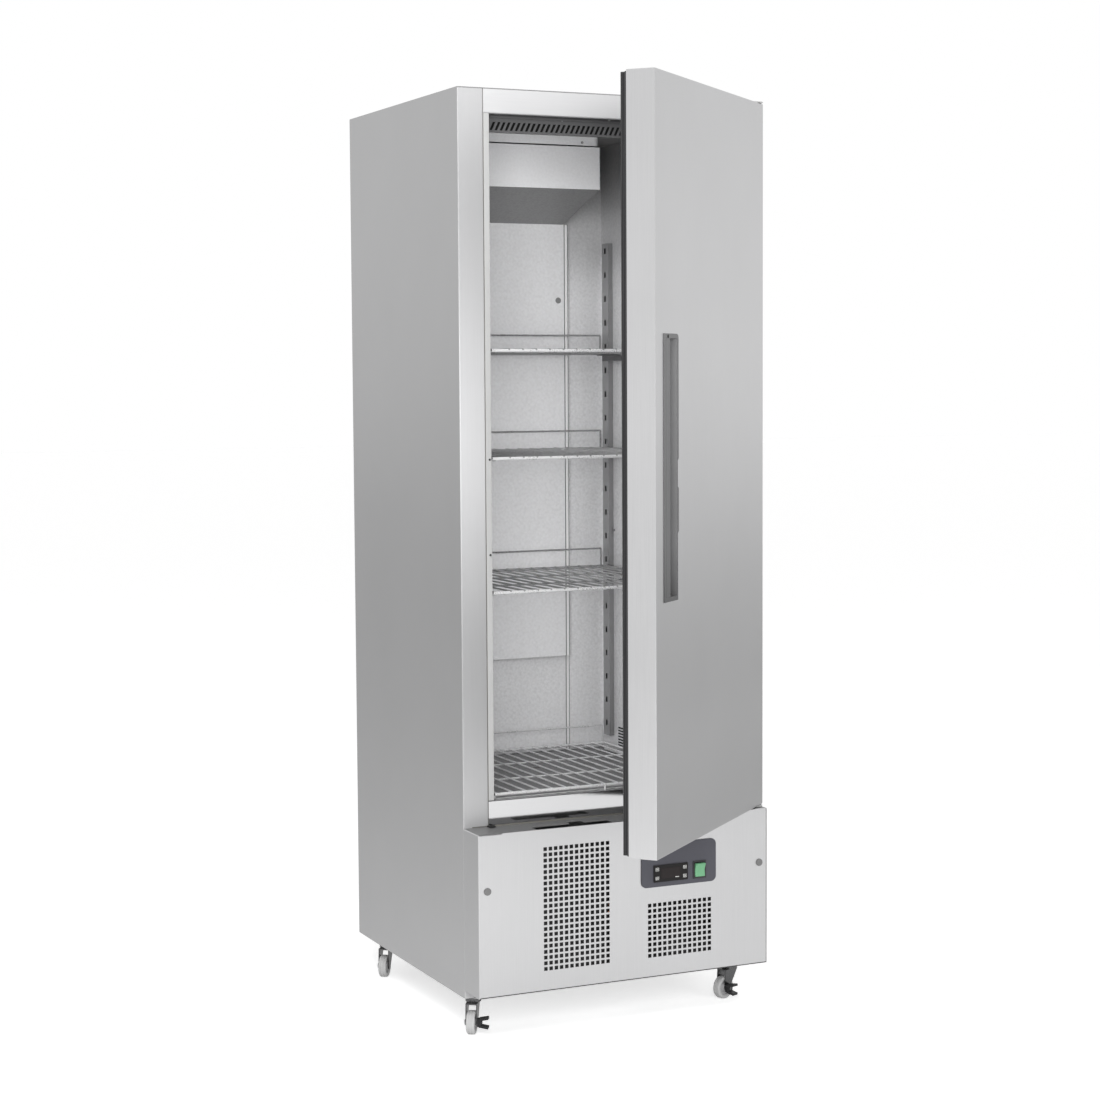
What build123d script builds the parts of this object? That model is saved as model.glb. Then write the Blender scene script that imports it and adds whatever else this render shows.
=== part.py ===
from build123d import *
import os

os.makedirs("parts", exist_ok=True)

# Frame: origin on the floor under the middle of the carcass, X to the right, Y to the back, Z up.

# Carcass
width = 680.0
depth = 642.0
height = 1960.0
base_height = 80.0
compartment_height = 350.0
skin = 1.0
rear_flange = 15.0
roof_fold = 14.0
stile_foot = 20.0
half_width = width / 2
front_y = -depth / 2
back_y = depth / 2
compartment_top = base_height + compartment_height

# Front frame around the door opening
stile_width = 57.0
header_height = 51.0
apron_height = 52.0
apron_gap = 10.0
seam_gap = 0.4
frame_lip = 12.0
sill_depth = 8.0
sill_rise = 12.0
breaker_sheet = 5.0
breaker_reveal = 0.5
stile_inner = half_width - stile_width
seam = stile_inner - seam_gap
cavity_front = front_y + frame_lip
apron_bottom = compartment_top + apron_gap
apron_top = apron_bottom + apron_height

# Insulation and the cold space
wall_thickness = 70.0
back_thickness = 59.0
drain_radius = 9.0
drain_y = 60.0
cavity_half = half_width - wall_thickness - skin
cavity_back = back_y - back_thickness - skin
floor_height = apron_top - sill_rise
ceiling_height = height - header_height + skin + breaker_sheet

# Pilasters and the rails on them
slot_pitch = 56.0
slot_width = 8.0
slot_height = 13.0
top_slot_drop = 248.0
lowest_slot_room = 60.0
pilaster_width = 32.0
pilaster_depth = 12.0
pilaster_sheet = 1.2
pilaster_head = 18.0
pilaster_foot = 30.0
front_pilaster_room = 47.0
rear_pilaster_room = 44.0
rail_width = 16.0
rail_height = 14.0
rail_sheet = 1.5
rail_inset = 2.0
top_slot_height = ceiling_height - top_slot_drop
slot_count = int((top_slot_height - floor_height - lowest_slot_room) // slot_pitch) + 1
pilaster_web = cavity_half - pilaster_depth
front_pilaster_y = cavity_front + front_pilaster_room
rear_pilaster_y = cavity_back - rear_pilaster_room

# Evaporator housing and the air duct on the back wall
duct_half = 157.0
duct_depth = 28.0
duct_above_floor = 232.0
duct_sheet = 1.2
housing_depth = 223.0
housing_face = 95.0
belly_fall = 66.0
lid_height = 26.0
lid_gap = 3.0
lid_sheet = 3.0
lid_corner = 14.0
duct_front = cavity_back - duct_depth
duct_bottom = floor_height + duct_above_floor
housing_front = cavity_back - housing_depth
housing_lid = ceiling_height - lid_height
housing_bottom = housing_lid - housing_face
duct_top = housing_bottom - belly_fall

# Shelves, each on the rails hung from one of the slots counted from the top
shelf_slots = [4, 8, 13]
shelf_below_slot = 12.0
bottom_shelf_rise = 23.0
shelf_wire = 4.0
shelf_bar = 8.0
shelf_gap = 0.3
shelf_side_gap = 2.0
shelf_front_gap = 12.0
shelf_back_gap = 10.0
front_bar_gap = 4.0
wire_pitch = 31.0
wire_weld_gap = 0.1
shelf_upstand = 40.0
shelf_levels = [top_slot_height - shelf_below_slot - slot_pitch * slot for slot in shelf_slots]
bottom_shelf_level = floor_height + bottom_shelf_rise
shelf_front = cavity_front + shelf_front_gap
shelf_back = duct_front - shelf_back_gap
shelf_depth = shelf_back - shelf_front

# Air grille under the ceiling
vent_set_back = 14.0
vent_strip_height = 41.0
vent_strip_sheet = 2.0
vent_strip_fold = 16.0
vent_pitch = 11.4
vent_slot = 6.0
vent_height = 17.0
vent_lean = 8.0
vent_end_margin = 10.0
vent_rise = 4.0
vent_y = cavity_front + vent_set_back
vent_strip_bottom = ceiling_height - vent_strip_height

# Lower front cover
cover_depth = 78.0
cover_gap = 2.0
cover_lift = 17.0
cover_sheet = 1.2
cover_fold = 14.0
corner_overlap = 5.0
hole_side = 8.0
hole_pitch = 12.0
grille_columns = 13
left_grille_rows = 22
right_grille_rows = 10
left_grille_x = -117.6
right_grille_x = 125.2
grille_rise = 43.3
bar_gap = 0.1
cover_top = apron_bottom - cover_gap
cover_bottom = base_height + cover_lift
cover_front = front_y - cover_depth
hole_bar = hole_pitch - hole_side

# Ledge plate behind the top edge of the cover, with its stepped slot
ledge_sheet = 1.5
ledge_drop = 1.0
ledge_edge_gap = 0.3
ledge_slot_x = -116.0
ledge_slot_width = 176.0
ledge_slot_depth = 29.0
ledge_slot_margin = 8.0
ledge_step_shift = 17.0
ledge_step_width = 35.0
ledge_step_depth = 40.0

# Round plugs over screw holes
plug_inset = 20.0
front_plug_rise = 223.0
front_plug_radius = 8.0
duct_plug_inset = 15.0
rear_plug_drop = 177.0
rear_plug_radius = 7.0
plug_cap = 1.5
plug_stem = 6.0
stem_clearance = 0.5
plug_x_front = half_width - plug_inset
front_plug_height = cover_bottom + front_plug_rise
plug_x_rear = duct_half - duct_plug_inset
rear_plug_height = duct_top - rear_plug_drop

# Controls on the cover
plate_x = 122.5
plate_drop = 100.5
plate_width = 179.0
plate_height = 93.0
plate_sheet = 3.0
plate_corner = 12.0
controls_drop = 17.5
fascia_shift = -21.0
fascia_width = 81.0
fascia_height = 36.0
fascia_depth = 3.0
case_depth = 60.0
window_margin = 4.0
window_rim = 3.0
case_clearance = 0.5
key_width = 10.0
key_height = 9.0
key_gap = 0.4
key_proud = 0.4
key_travel = 0.8
key_stop = 0.3
key_side_margin = 7.5
key_row_margin = 8.5
rocker_shift = 48.5
rocker_width = 23.0
rocker_height = 29.0
rocker_tilt = 8.0
rocker_gap = 0.5
bezel_side = 4.0
bezel_end = 4.5
bezel_flange = 2.5
bezel_body = 24.0
plate_z = cover_top - plate_drop
fascia_x = plate_x + fascia_shift
fascia_z = plate_z - controls_drop
rocker_x = plate_x + rocker_shift
rocker_z = fascia_z
bezel_width = rocker_width + 2 * bezel_side
bezel_height = rocker_height + 2 * bezel_end
plate_front = cover_front - plate_sheet

# Door
door_overlap = 18.0
door_side_gap = 1.0
door_lift = 4.5
door_top_gap = 11.0
door_thickness = 58.0
raised_panel = 9.0
door_left = -stile_inner - door_overlap
door_right = half_width - door_side_gap
door_bottom = cover_top + door_lift
door_top = height - door_top_gap
door_rest_angle = 41.4

# Door hinges
hinge_inset = 24.0
hinge_setback = 17.0
pin_radius = 5.0
pin_length = 20.0
pin_clearance = 0.05
bush_side = 18.0
bush_length = 22.0
pocket_clearance = 0.05
bracket_sheet = 2.5
bracket_gap = 1.0
bracket_reach = 12.0
bracket_half = 14.0
bracket_corner = 7.0

# Gasket between the door and the front frame
seal_gap = 14.0
seal_width = 24.0
seal_clearance = 0.4
seal_edge = 2.0
seal_side_inset = 4.0
seal_end_inset = 3.0
seal_base = 4.0
door_inner = front_y - seal_gap
door_outer = door_inner - door_thickness
hinge_x = door_right - hinge_inset
hinge_y = door_outer + hinge_setback
seal_right = hinge_x + seal_edge

# Handle let into the door face
handle_from_edge = 42.0
handle_width = 78.0
handle_rise = 493.5
handle_height = 517.0
handle_recess = 24.0
handle_flange = 2.0
handle_wall = 6.0
handle_rim = 3.0
handle_corner = 10.0
grip_width = 23.0
grip_sheet = 5.0
handle_left = door_left + handle_from_edge
handle_bottom = door_bottom + handle_rise
handle_top = handle_bottom + handle_height

# Castors
castor_side_inset = 32.0
castor_front_inset = 31.0
castor_rear_inset = 99.0
wheel_radius = 25.0
wheel_width = 18.0
trail = 22.0
castor_plate = 56.0
castor_plate_sheet = 2.5
fork_gap = 1.0
fork_sheet = 2.5
axle_radius = 4.0
swivel_radius = 17.0
race_height = 4.0
crown_height = 8.0
stub_length = 11.0
running_clearance = 0.05
race_clearance = 0.4
pedal_clearance = 0.4
pedal_thickness = 8.0
pedal_boss = 16.0
pad_width = 16.0
pad_length = 20.0
pad_thickness = 5.0
pad_rise = 8.5
pad_lean = 10.0
pad_start = 3.0
castor_x = half_width - castor_side_inset
front_castor_y = front_y + castor_front_inset
rear_castor_y = back_y - castor_rear_inset
fork_inner = wheel_width / 2 + fork_gap
castor_axes = {
    "front_left": (-castor_x, front_castor_y, 238.0),
    "front_right": (castor_x, front_castor_y, 200.0),
    "rear_left": (-castor_x, rear_castor_y, 234.0),
    "rear_right": (castor_x, rear_castor_y, 250.0),
}

# Condenser with its shroud and fan, behind the left grille
coil_width = 260.0
coil_depth = 60.0
coil_set_back = 21.0
coil_headroom = 38.0
shroud_gap = 2.0
shroud_sheet = 1.5
mouth_clearance = 6.0
condenser_fan_radius = 98.0
condenser_fan_depth = 24.0
condenser_fan_gap = 20.0
fan_height = 160.0
blade_count = 5
blade_pitch = 28.0
blade_sheet = 2.0
shaft_radius = 4.0
motor_radius = 26.0
motor_length = 44.0
motor_gap = 24.0
strap_sheet = 2.0
strap_width = 40.0
coil_x = left_grille_x
coil_front = front_y + coil_set_back
coil_top = compartment_top - coil_headroom
condenser_fan_y = coil_front + coil_depth + condenser_fan_gap
fan_centre_z = base_height + fan_height

# Evaporator inside the housing
evaporator_side_gap = 27.0
evaporator_set_back = 12.0
evaporator_depth = 70.0
evaporator_fan_radius = 38.5
evaporator_fan_depth = 20.0
evaporator_fan_set_back = 118.0
evaporator_motor_gap = 16.0
evaporator_strap_width = 24.0
coil_half = duct_half - evaporator_side_gap
evaporator_fan_y = housing_front + evaporator_fan_set_back
evaporator_fan_z = (housing_bottom + housing_lid) / 2

# Compressor, pipe, tray and the rear of the machine compartment
compressor_x = 150.0
compressor_y = 10.0
compressor_radius = 82.0
compressor_height = 190.0
compressor_lift = 22.0
compressor_shoulder = 24.0
seam_ring_reach = 4.0
foot_length_margin = 66.0
foot_depth_margin = 48.0
foot_sheet = 6.0
foot_radius = 12.0
foot_inset = 17.0
terminal_width = 60.0
terminal_reach = 26.0
terminal_bottom = 60.0
terminal_height = 60.0
pipe_radius = 4.0
pipe_run_gap = 24.0
tray_x = -120.0
tray_width = 280.0
tray_depth = 150.0
tray_height = 34.0
tray_sheet = 1.5
tray_rear_gap = 20.0
tray_corner = 12.0
pan_front_fold = 22.0
pan_rear_fold = 16.0
panel_clearance = 1.0
rear_slot_width = 180.0
rear_slot_height = 9.0
rear_slot_column_pitch = 250.0
rear_slot_row_pitch = 30.0
rear_slot_rows = 8
rear_slots_rise = 180.0
gland_inset = 50.0
gland_height = 32.0
gland_radius = 13.0
gland_neck = 9.0
gland_bore = 4.5
gland_flange = 3.0
gland_length = 16.0
pan_top = base_height + skin


def save(name, shape):
    """Write one node as a STEP file."""
    shape.label = name
    export_step(shape, f"parts/{name}.step")


def group(*solids):
    """Several separate solids kept in one node."""
    return Compound(children=[s for s in solids])


def block(x0, x1, y0, y1, z0, z1):
    """A rectangular solid between two corners."""
    return Pos((x0 + x1) / 2, (y0 + y1) / 2, (z0 + z1) / 2) * Box(x1 - x0, y1 - y0, z1 - z0)


def facetted(radius, length, sides):
    """A prism along Z, used for small round pieces that nothing turns on."""
    return Pos(0, 0, -length / 2) * extrude(RegularPolygon(radius, sides), length)


def mirrored(shape):
    """The same piece on the other side of the middle plane."""
    return mirror(shape, Plane.YZ)


def upright_fold(points, sheet, bottom, top, side=Side.LEFT):
    """A sheet folded along vertical lines; points are its path seen from above."""
    outline = offset(Polyline(*points), amount=sheet, side=side)
    return Pos(0, 0, bottom) * extrude(make_face(outline.edges()), top - bottom)


def level_fold(points, sheet, left, right, side=Side.LEFT):
    """A sheet folded along lines parallel to X; points are its path as (y, z)."""
    outline = offset(Polyline(*points), amount=sheet, side=side)
    face = Plane.YZ.offset(left) * make_face(outline.edges())
    return extrude(face, right - left)


def front_face(sketch, y, thickness):
    """A sketch in (x, z) made solid from y towards the back."""
    plane = Plane(origin=(0, y, 0), x_dir=(1, 0, 0), z_dir=(0, -1, 0))
    return extrude(plane * sketch, -thickness)


def side_panel():
    """Left outer side, folded round into the front stile and a rear flange."""
    path = [
        (-half_width + rear_flange, back_y),
        (-half_width, back_y),
        (-half_width, front_y),
        (-stile_inner, front_y),
        (-stile_inner, cavity_front),
    ]
    panel = upright_fold(path, skin, base_height, height)
    stile_relief = block(-half_width + stile_foot, -stile_inner + 2, front_y - 1, cavity_front + 1,
                         base_height - 1, apron_bottom)
    roof_relief = block(-half_width + skin, 0, front_y + skin, back_y - skin, height - skin, height + 1)
    return panel - stile_relief - roof_relief


def top_panel():
    """Outer roof sheet with its rear edge turned down."""
    inner = half_width - skin
    path = [(front_y + skin, height), (back_y - skin, height), (back_y - skin, height - roof_fold)]
    return level_fold(path, skin, -inner, inner, Side.RIGHT)


def rear_panel():
    """Outer back sheet above the machine compartment, and the sheet under the insulated floor."""
    inner = half_width - skin
    clear = inner - rear_flange
    back = block(-clear, clear, back_y - skin, back_y, compartment_top, height - roof_fold - skin)
    floor = block(-inner, inner, front_y + skin, back_y - skin, compartment_top, compartment_top + skin)
    return group(back, floor)


def header_panel():
    """Front header above the door opening, with a lip turned back into the opening."""
    path = [
        (cavity_front, height - header_height),
        (front_y, height - header_height),
        (front_y, height),
    ]
    return level_fold(path, skin, -seam, seam, Side.RIGHT)


def front_apron():
    """Polished sill under the door opening, folded back over the cavity floor."""
    sill_back = cavity_front + sill_depth
    path = [
        (cavity_front, apron_bottom),
        (front_y, apron_bottom),
        (front_y, apron_top),
        (sill_back, apron_top),
        (sill_back, floor_height + skin),
    ]
    apron = level_fold(path, skin, -seam, seam, Side.RIGHT)
    notch = block(cavity_half, seam + 1, cavity_front, cavity_back, apron_bottom, apron_top + 1)
    return apron - notch - mirrored(notch)


def breaker_strips():
    """Plastic strips between the steel frame and the liner: left, right and top."""
    outer = stile_inner - skin
    inner = cavity_half + breaker_reveal
    left = block(-outer, -inner, front_y + breaker_reveal, cavity_front,
                 apron_top, ceiling_height - breaker_sheet - skin)
    top = block(-outer, outer, front_y + skin, cavity_front, ceiling_height - breaker_sheet, ceiling_height)
    return group(left, mirrored(left), top)


def liner_panels():
    """Stucco aluminium sheets of the cold space: sides, back, ceiling and floor."""
    c = cavity_half
    left = block(-c - skin, -c, cavity_front, cavity_back + skin, floor_height, ceiling_height + skin)
    back = block(-c, c, cavity_back, cavity_back + skin, floor_height, ceiling_height + skin)
    ceiling = block(-c, c, cavity_front, cavity_back, ceiling_height, ceiling_height + skin)
    floor_front = cavity_front + sill_depth + 2 * skin
    floor = block(-c, c, floor_front, cavity_back, floor_height, floor_height + skin)
    drain = Pos(0, drain_y, floor_height) * facetted(drain_radius, 10 * skin, 12)
    return group(left, mirrored(left), back, ceiling, floor - drain)


def insulation(skins):
    """Foam between the outer skins and the liner, open at the front."""
    inner = half_width - skin
    body = block(-inner, inner, front_y + skin, back_y - skin, compartment_top + skin, height - skin)
    body -= block(-cavity_half - skin, cavity_half + skin, front_y, cavity_back + skin,
                  floor_height, ceiling_height + skin)
    for piece in skins:
        body -= piece
    return body.solids().sort_by(SortBy.VOLUME)[-1]


def pilaster(y):
    """Slotted channel on the left cavity wall that carries the shelf rails."""
    half = pilaster_width / 2
    path = [
        (-cavity_half, y - half),
        (-pilaster_web, y - half),
        (-pilaster_web, y + half),
        (-cavity_half, y + half),
    ]
    run = slot_pitch * (slot_count - 1)
    channel = upright_fold(path, pilaster_sheet, top_slot_height - run - pilaster_foot,
                           top_slot_height + pilaster_head)
    face = Plane(origin=(-pilaster_web - 2, y, 0), x_dir=(0, 1, 0), z_dir=(1, 0, 0))
    slots = Sketch() + [
        Pos(0, top_slot_height - run / 2) * place * Rectangle(slot_width, slot_height)
        for place in GridLocations(1, slot_pitch, 1, slot_count)
    ]
    return channel - extrude(face * slots, 4)


def pilasters():
    """The four pilasters: two on each side wall."""
    left = [pilaster(front_pilaster_y), pilaster(rear_pilaster_y)]
    return group(*left, *[mirrored(p) for p in left])


def shelf_rail(level):
    """Angle rail on the left side under one shelf, between the two pilasters."""
    top = level - shelf_bar - shelf_gap
    path = [(-pilaster_web + rail_width, top), (-pilaster_web, top), (-pilaster_web, top - rail_height)]
    outline = offset(Polyline(*path), amount=rail_sheet, side=Side.LEFT)
    start = front_pilaster_y - pilaster_width / 2 + rail_inset
    end = rear_pilaster_y + pilaster_width / 2 - rail_inset
    face = Plane(origin=(0, end, 0), x_dir=(1, 0, 0), z_dir=(0, -1, 0)) * make_face(outline.edges())
    return extrude(face, end - start)


def shelf_rails():
    """Rails for the three upper shelves, left and right, each its own solid."""
    left = [shelf_rail(level) for level in shelf_levels]
    return group(*left, *[mirrored(r) for r in left])


def wire_shelf(level, side_bottom=None):
    """Welded wire shelf: a frame of bars, wires from front to back, two cross bars just under them."""
    half = pilaster_web - shelf_side_gap
    wide = cavity_half - front_bar_gap
    inner = half - shelf_bar
    bar_bottom = level - shelf_bar
    side_bottom = bar_bottom if side_bottom is None else side_bottom
    shelf = block(-wide, wide, shelf_front, shelf_front + shelf_bar, bar_bottom, level)
    shelf += block(-half, half, shelf_back - shelf_bar, shelf_back, bar_bottom, level)
    side = block(-half, -inner, shelf_front + shelf_bar, shelf_back - shelf_bar, side_bottom, level)
    shelf += side + mirrored(side)
    wires = Sketch() + [
        place * Rectangle(shelf_wire, shelf_depth - 2 * shelf_bar)
        for place in GridLocations(wire_pitch, 1, int(2 * inner // wire_pitch), 1)
    ]
    shelf += Pos(0, (shelf_front + shelf_back) / 2, level - shelf_wire) * extrude(wires, shelf_wire)
    for share in (1 / 3, 2 / 3):
        y = shelf_front + shelf_depth * share
        shelf += block(-inner, inner, y - shelf_wire / 2, y + shelf_wire / 2,
                       bar_bottom, level - shelf_wire - wire_weld_gap)
    rim = block(-inner, inner, shelf_back - shelf_wire, shelf_back, level, level + shelf_upstand)
    window = block(-inner + shelf_wire, inner - shelf_wire, shelf_back - shelf_wire - 1, shelf_back + 1,
                   level, level + shelf_upstand - shelf_wire)
    return shelf + (rim - window)


def bottom_shelf():
    """Floor shelf: the same wire deck on side bars that reach the floor, with a lower front bar."""
    shelf = wire_shelf(bottom_shelf_level, floor_height + skin + shelf_gap)
    wide = cavity_half - front_bar_gap
    back = shelf_front + shelf_wire
    low = bottom_shelf_level - shelf_bar - shelf_wire
    shelf += block(-wide, wide, shelf_front, back, low - shelf_wire, low)
    for x in (-wide, -shelf_wire / 2, wide - shelf_wire):
        shelf += block(x, x + shelf_wire, shelf_front, back, low, bottom_shelf_level - shelf_bar)
    return shelf


def duct_panel():
    """Stucco panel in front of the back wall, its sides folded back to the wall."""
    path = [
        (-duct_half, cavity_back),
        (-duct_half, duct_front),
        (duct_half, duct_front),
        (duct_half, cavity_back),
    ]
    panel = upright_fold(path, duct_sheet, duct_bottom, duct_top)
    hole = plug_stem + 2 * stem_clearance
    for x in (-plug_x_rear, plug_x_rear):
        panel -= Pos(x, duct_front, rear_plug_height) * Box(hole, 4 * duct_sheet, hole)
    return panel


def evaporator_cover():
    """Housing that hangs under the ceiling: an upright front, a sloping belly, two cheeks and a lid."""
    belly = [
        (housing_front, housing_lid),
        (housing_front, housing_bottom),
        (duct_front, duct_top),
    ]
    front = level_fold(belly, duct_sheet, -duct_half, duct_half)
    cheek_outline = make_face(Polyline(
        *belly,
        (cavity_back, duct_top),
        (cavity_back, housing_lid),
        close=True,
    ))
    cheek = extrude(Plane.YZ.offset(duct_half - duct_sheet) * cheek_outline, duct_sheet)
    shell = front + cheek + mirrored(cheek)
    lid = block(-duct_half, duct_half, housing_front, cavity_back, housing_lid + lid_gap, ceiling_height)
    lid = fillet(lid.edges().filter_by(Axis.Z).group_by(Axis.Y)[0], lid_corner)
    rim = lid_sheet + 2
    hollow = block(-duct_half + rim, duct_half - rim, housing_front + rim, cavity_back - rim,
                   housing_lid, ceiling_height - lid_sheet)
    return group(shell, lid - hollow)


def finned_coil(x0, x1, y0, y1, z0, z1, rows, plate_bottom, plate_top):
    """Heat exchanger: a fin pack between two end plates, with return bends beyond them."""
    bend = 10
    plate = 2
    coil = block(x0 + bend + plate, x1 - bend - plate, y0, y1, z0, z1)
    coil += block(x0 + bend, x0 + bend + plate, y0 - 2, y1 + 2, plate_bottom, plate_top)
    coil += block(x1 - bend - plate, x1 - bend, y0 - 2, y1 + 2, plate_bottom, plate_top)
    pitch = (z1 - z0) / rows
    middle = (y0 + y1) / 2
    for row in range(0, rows - 1, 2):
        z = z0 + pitch * (row + 1)
        coil += block(x0, x0 + bend, middle - 4, middle + 4, z - pitch / 2, z + pitch / 2)
        coil += block(x1 - bend, x1, middle - 4, middle + 4, z - pitch / 2, z + pitch / 2)
    return coil


def evaporator_coil():
    """Cold coil inside the housing, hung from the lid by its end plates."""
    y0 = housing_front + evaporator_set_back
    return finned_coil(-coil_half, coil_half, y0, y0 + evaporator_depth, housing_bottom + 12,
                       housing_lid - 12, 3, housing_bottom + 10, ceiling_height - lid_sheet)


def condenser_coil():
    """Warm coil behind the left grille, standing on the base pan by its end plates."""
    x0 = coil_x - coil_width / 2
    return finned_coil(x0, x0 + coil_width, coil_front, coil_front + coil_depth,
                       pan_top + 13, coil_top, 5, pan_top, coil_top + 2)


def fan_shroud():
    """Plate with a round mouth between the condenser and its fan."""
    x0 = coil_x - coil_width / 2
    y0 = coil_front + coil_depth + shroud_gap
    plate = block(x0, x0 + coil_width, y0, y0 + shroud_sheet, pan_top, coil_top)
    mouth = facetted(condenser_fan_radius + mouth_clearance, 40 * shroud_sheet, 24)
    return plate - Pos(coil_x, y0, fan_centre_z) * Rot(90, 0, 0) * mouth


def fan(radius, x, y, z, depth):
    """Axial fan: a facetted hub with swept blades that turns about Y."""
    hub_radius = radius * 0.3
    rotor = facetted(hub_radius, depth, 2 * blade_count)
    root = hub_radius * 0.8
    reach = radius * 0.97 - root
    for place in PolarLocations(0, blade_count):
        blade = Box(reach, radius * 0.44, blade_sheet)
        rotor += place * Pos(root + reach / 2, 0, 0) * Rot(blade_pitch, 0, 0) * blade
    rotor -= Cylinder(shaft_radius + running_clearance, depth + 2)
    return Pos(x, y, z) * Rot(90, 0, 0) * rotor


def fan_motor(x, y, z, shaft_end, strap):
    """Shaded-pole motor behind a fan, its shaft forward; the strap at its back holds it."""
    body = Pos(x, y + motor_length / 2, z) * Rot(90, 0, 0) * facetted(motor_radius, motor_length, 12)
    shaft = Pos(x, (shaft_end + y) / 2, z) * Rot(90, 0, 0) * Cylinder(shaft_radius, y - shaft_end)
    return body + shaft + strap


def fan_motors():
    """Condenser fan motor on an upright strap, evaporator fan motor on a strap across the housing."""
    low_y = condenser_fan_y + motor_gap
    low_back = low_y + motor_length
    upright = block(coil_x - strap_width / 2, coil_x + strap_width / 2, low_back, low_back + strap_sheet,
                    pan_top, fan_centre_z + strap_width / 2)
    high_y = evaporator_fan_y + evaporator_motor_gap
    high_back = high_y + motor_length
    reach = duct_half - duct_sheet
    rise = evaporator_strap_width / 2
    across = block(-reach, reach, high_back, high_back + strap_sheet,
                   evaporator_fan_z - rise, evaporator_fan_z + rise)
    low_end = condenser_fan_y - condenser_fan_depth / 2 + 2
    high_end = evaporator_fan_y - evaporator_fan_depth / 2 + 2
    return group(
        fan_motor(coil_x, low_y, fan_centre_z, low_end, upright),
        fan_motor(0, high_y, evaporator_fan_z, high_end, across),
    )


def compressor():
    """Hermetic compressor: welded shell, foot plate on four rubber feet and a terminal cover."""
    dome = Pos(0, 0, compressor_height / 2) * facetted(compressor_radius, compressor_height, 16)
    dome = chamfer(dome.faces().sort_by(Axis.Z)[-1].edges(), compressor_shoulder)
    ring = facetted(compressor_radius + seam_ring_reach, seam_ring_reach + 1, 16)
    foot_length = 2 * compressor_radius + foot_length_margin
    foot_depth = compressor_radius + foot_depth_margin
    plate = Pos(0, 0, -foot_sheet / 2) * Box(foot_length, foot_depth, foot_sheet)
    shell = dome + Pos(0, 0, compressor_height * 0.55) * ring + plate
    shell += block(-terminal_width / 2, terminal_width / 2, -compressor_radius - terminal_reach,
                   -compressor_radius / 2, terminal_bottom, terminal_bottom + terminal_height)
    foot = facetted(foot_radius, compressor_lift - foot_sheet, 8)
    for place in GridLocations(foot_length - 2 * foot_inset, foot_depth - 2 * foot_inset, 2, 2):
        shell += Pos(0, 0, -(foot_sheet + compressor_lift) / 2) * place * foot
    return Pos(compressor_x, compressor_y, pan_top + compressor_lift) * shell


def refrigerant_pipes():
    """Copper line: hot gas from the compressor to the condenser."""
    z = pan_top + compressor_lift + compressor_height * 0.6
    start = (compressor_x - compressor_radius, compressor_y, z)
    run_x = compressor_x - compressor_radius - pipe_run_gap
    coil_y = coil_front + coil_depth / 2
    route = Polyline(
        start,
        (run_x, compressor_y, z),
        (run_x, coil_y, z),
        (coil_x + coil_width / 2 - 10, coil_y, z),
    )
    section = Plane(origin=start, z_dir=(-1, 0, 0)) * RegularPolygon(pipe_radius, 8)
    return sweep(section, path=route, transition=Transition.RIGHT)


def evaporating_tray():
    """Open tray at the rear of the base that takes the defrost water."""
    x0 = tray_x - tray_width / 2
    x1 = tray_x + tray_width / 2
    y1 = back_y - skin - tray_rear_gap
    y0 = y1 - tray_depth
    t = tray_sheet
    outer = block(x0, x1, y0, y1, pan_top, pan_top + tray_height)
    outer = chamfer(outer.edges().filter_by(Axis.Z), tray_corner)
    inner = block(x0 + t, x1 - t, y0 + t, y1 - t, pan_top + t, pan_top + tray_height + t)
    return outer - chamfer(inner.edges().filter_by(Axis.Z), tray_corner - t / 2)


def base_pan():
    """Base of the machine compartment, its front and rear edges folded up."""
    inner = half_width - skin
    path = [
        (front_y + skin, base_height + pan_front_fold),
        (front_y + skin, base_height),
        (back_y - skin, base_height),
        (back_y - skin, base_height + pan_rear_fold),
    ]
    return level_fold(path, skin, -inner, inner)


def rear_grille():
    """Removable rear cover of the machine compartment with rows of slots."""
    wide = 2 * (half_width - rear_flange - skin - panel_clearance)
    bottom = base_height + pan_rear_fold + panel_clearance
    sheet = Pos(0, (bottom + compartment_top) / 2) * Rectangle(wide, compartment_top - bottom)
    grid = GridLocations(rear_slot_column_pitch, rear_slot_row_pitch, 2, rear_slot_rows)
    slots = [
        Pos(0, base_height + rear_slots_rise) * place * Rectangle(rear_slot_width, rear_slot_height)
        for place in grid
    ]
    return front_face(sheet - (Sketch() + slots), back_y - skin, skin)


def cable_gland():
    """Moulded gland where the mains lead would leave the compartment."""
    neck = Pos(0, 0, -(gland_flange + gland_length) / 2) * facetted(gland_neck, gland_length, 12)
    gland = facetted(gland_radius, gland_flange, 12) + neck - facetted(gland_bore, 4 * gland_length, 12)
    place = Pos(-half_width + gland_inset, back_y + gland_flange / 2, base_height + gland_height)
    return place * Rot(90, 0, 0) * gland


def grille_window(rows, x):
    """Outline round all the square holes of one grille of the cover, standing at x."""
    wide = grille_columns * hole_pitch - hole_bar
    tall = rows * hole_pitch - hole_bar
    return Pos(x, cover_bottom + grille_rise + tall / 2) * Rectangle(wide, tall)


def grille_bars(rows, x):
    """The metal between the square holes: upright bars in front, level bars a hair behind them."""
    wide = grille_columns * hole_pitch - hole_bar
    tall = rows * hole_pitch - hole_bar
    middle = Pos(x, cover_bottom + grille_rise + tall / 2)
    layer = (cover_sheet - bar_gap) / 2
    upright = Sketch() + [
        middle * place * Rectangle(hole_bar, tall)
        for place in GridLocations(hole_pitch, 1, grille_columns - 1, 1)
    ]
    level = Sketch() + [
        middle * place * Rectangle(wide, hole_bar) for place in GridLocations(1, hole_pitch, 1, rows - 1)
    ]
    behind = cover_front + layer + bar_gap
    return [front_face(upright, cover_front, layer), front_face(level, behind, layer)]


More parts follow.
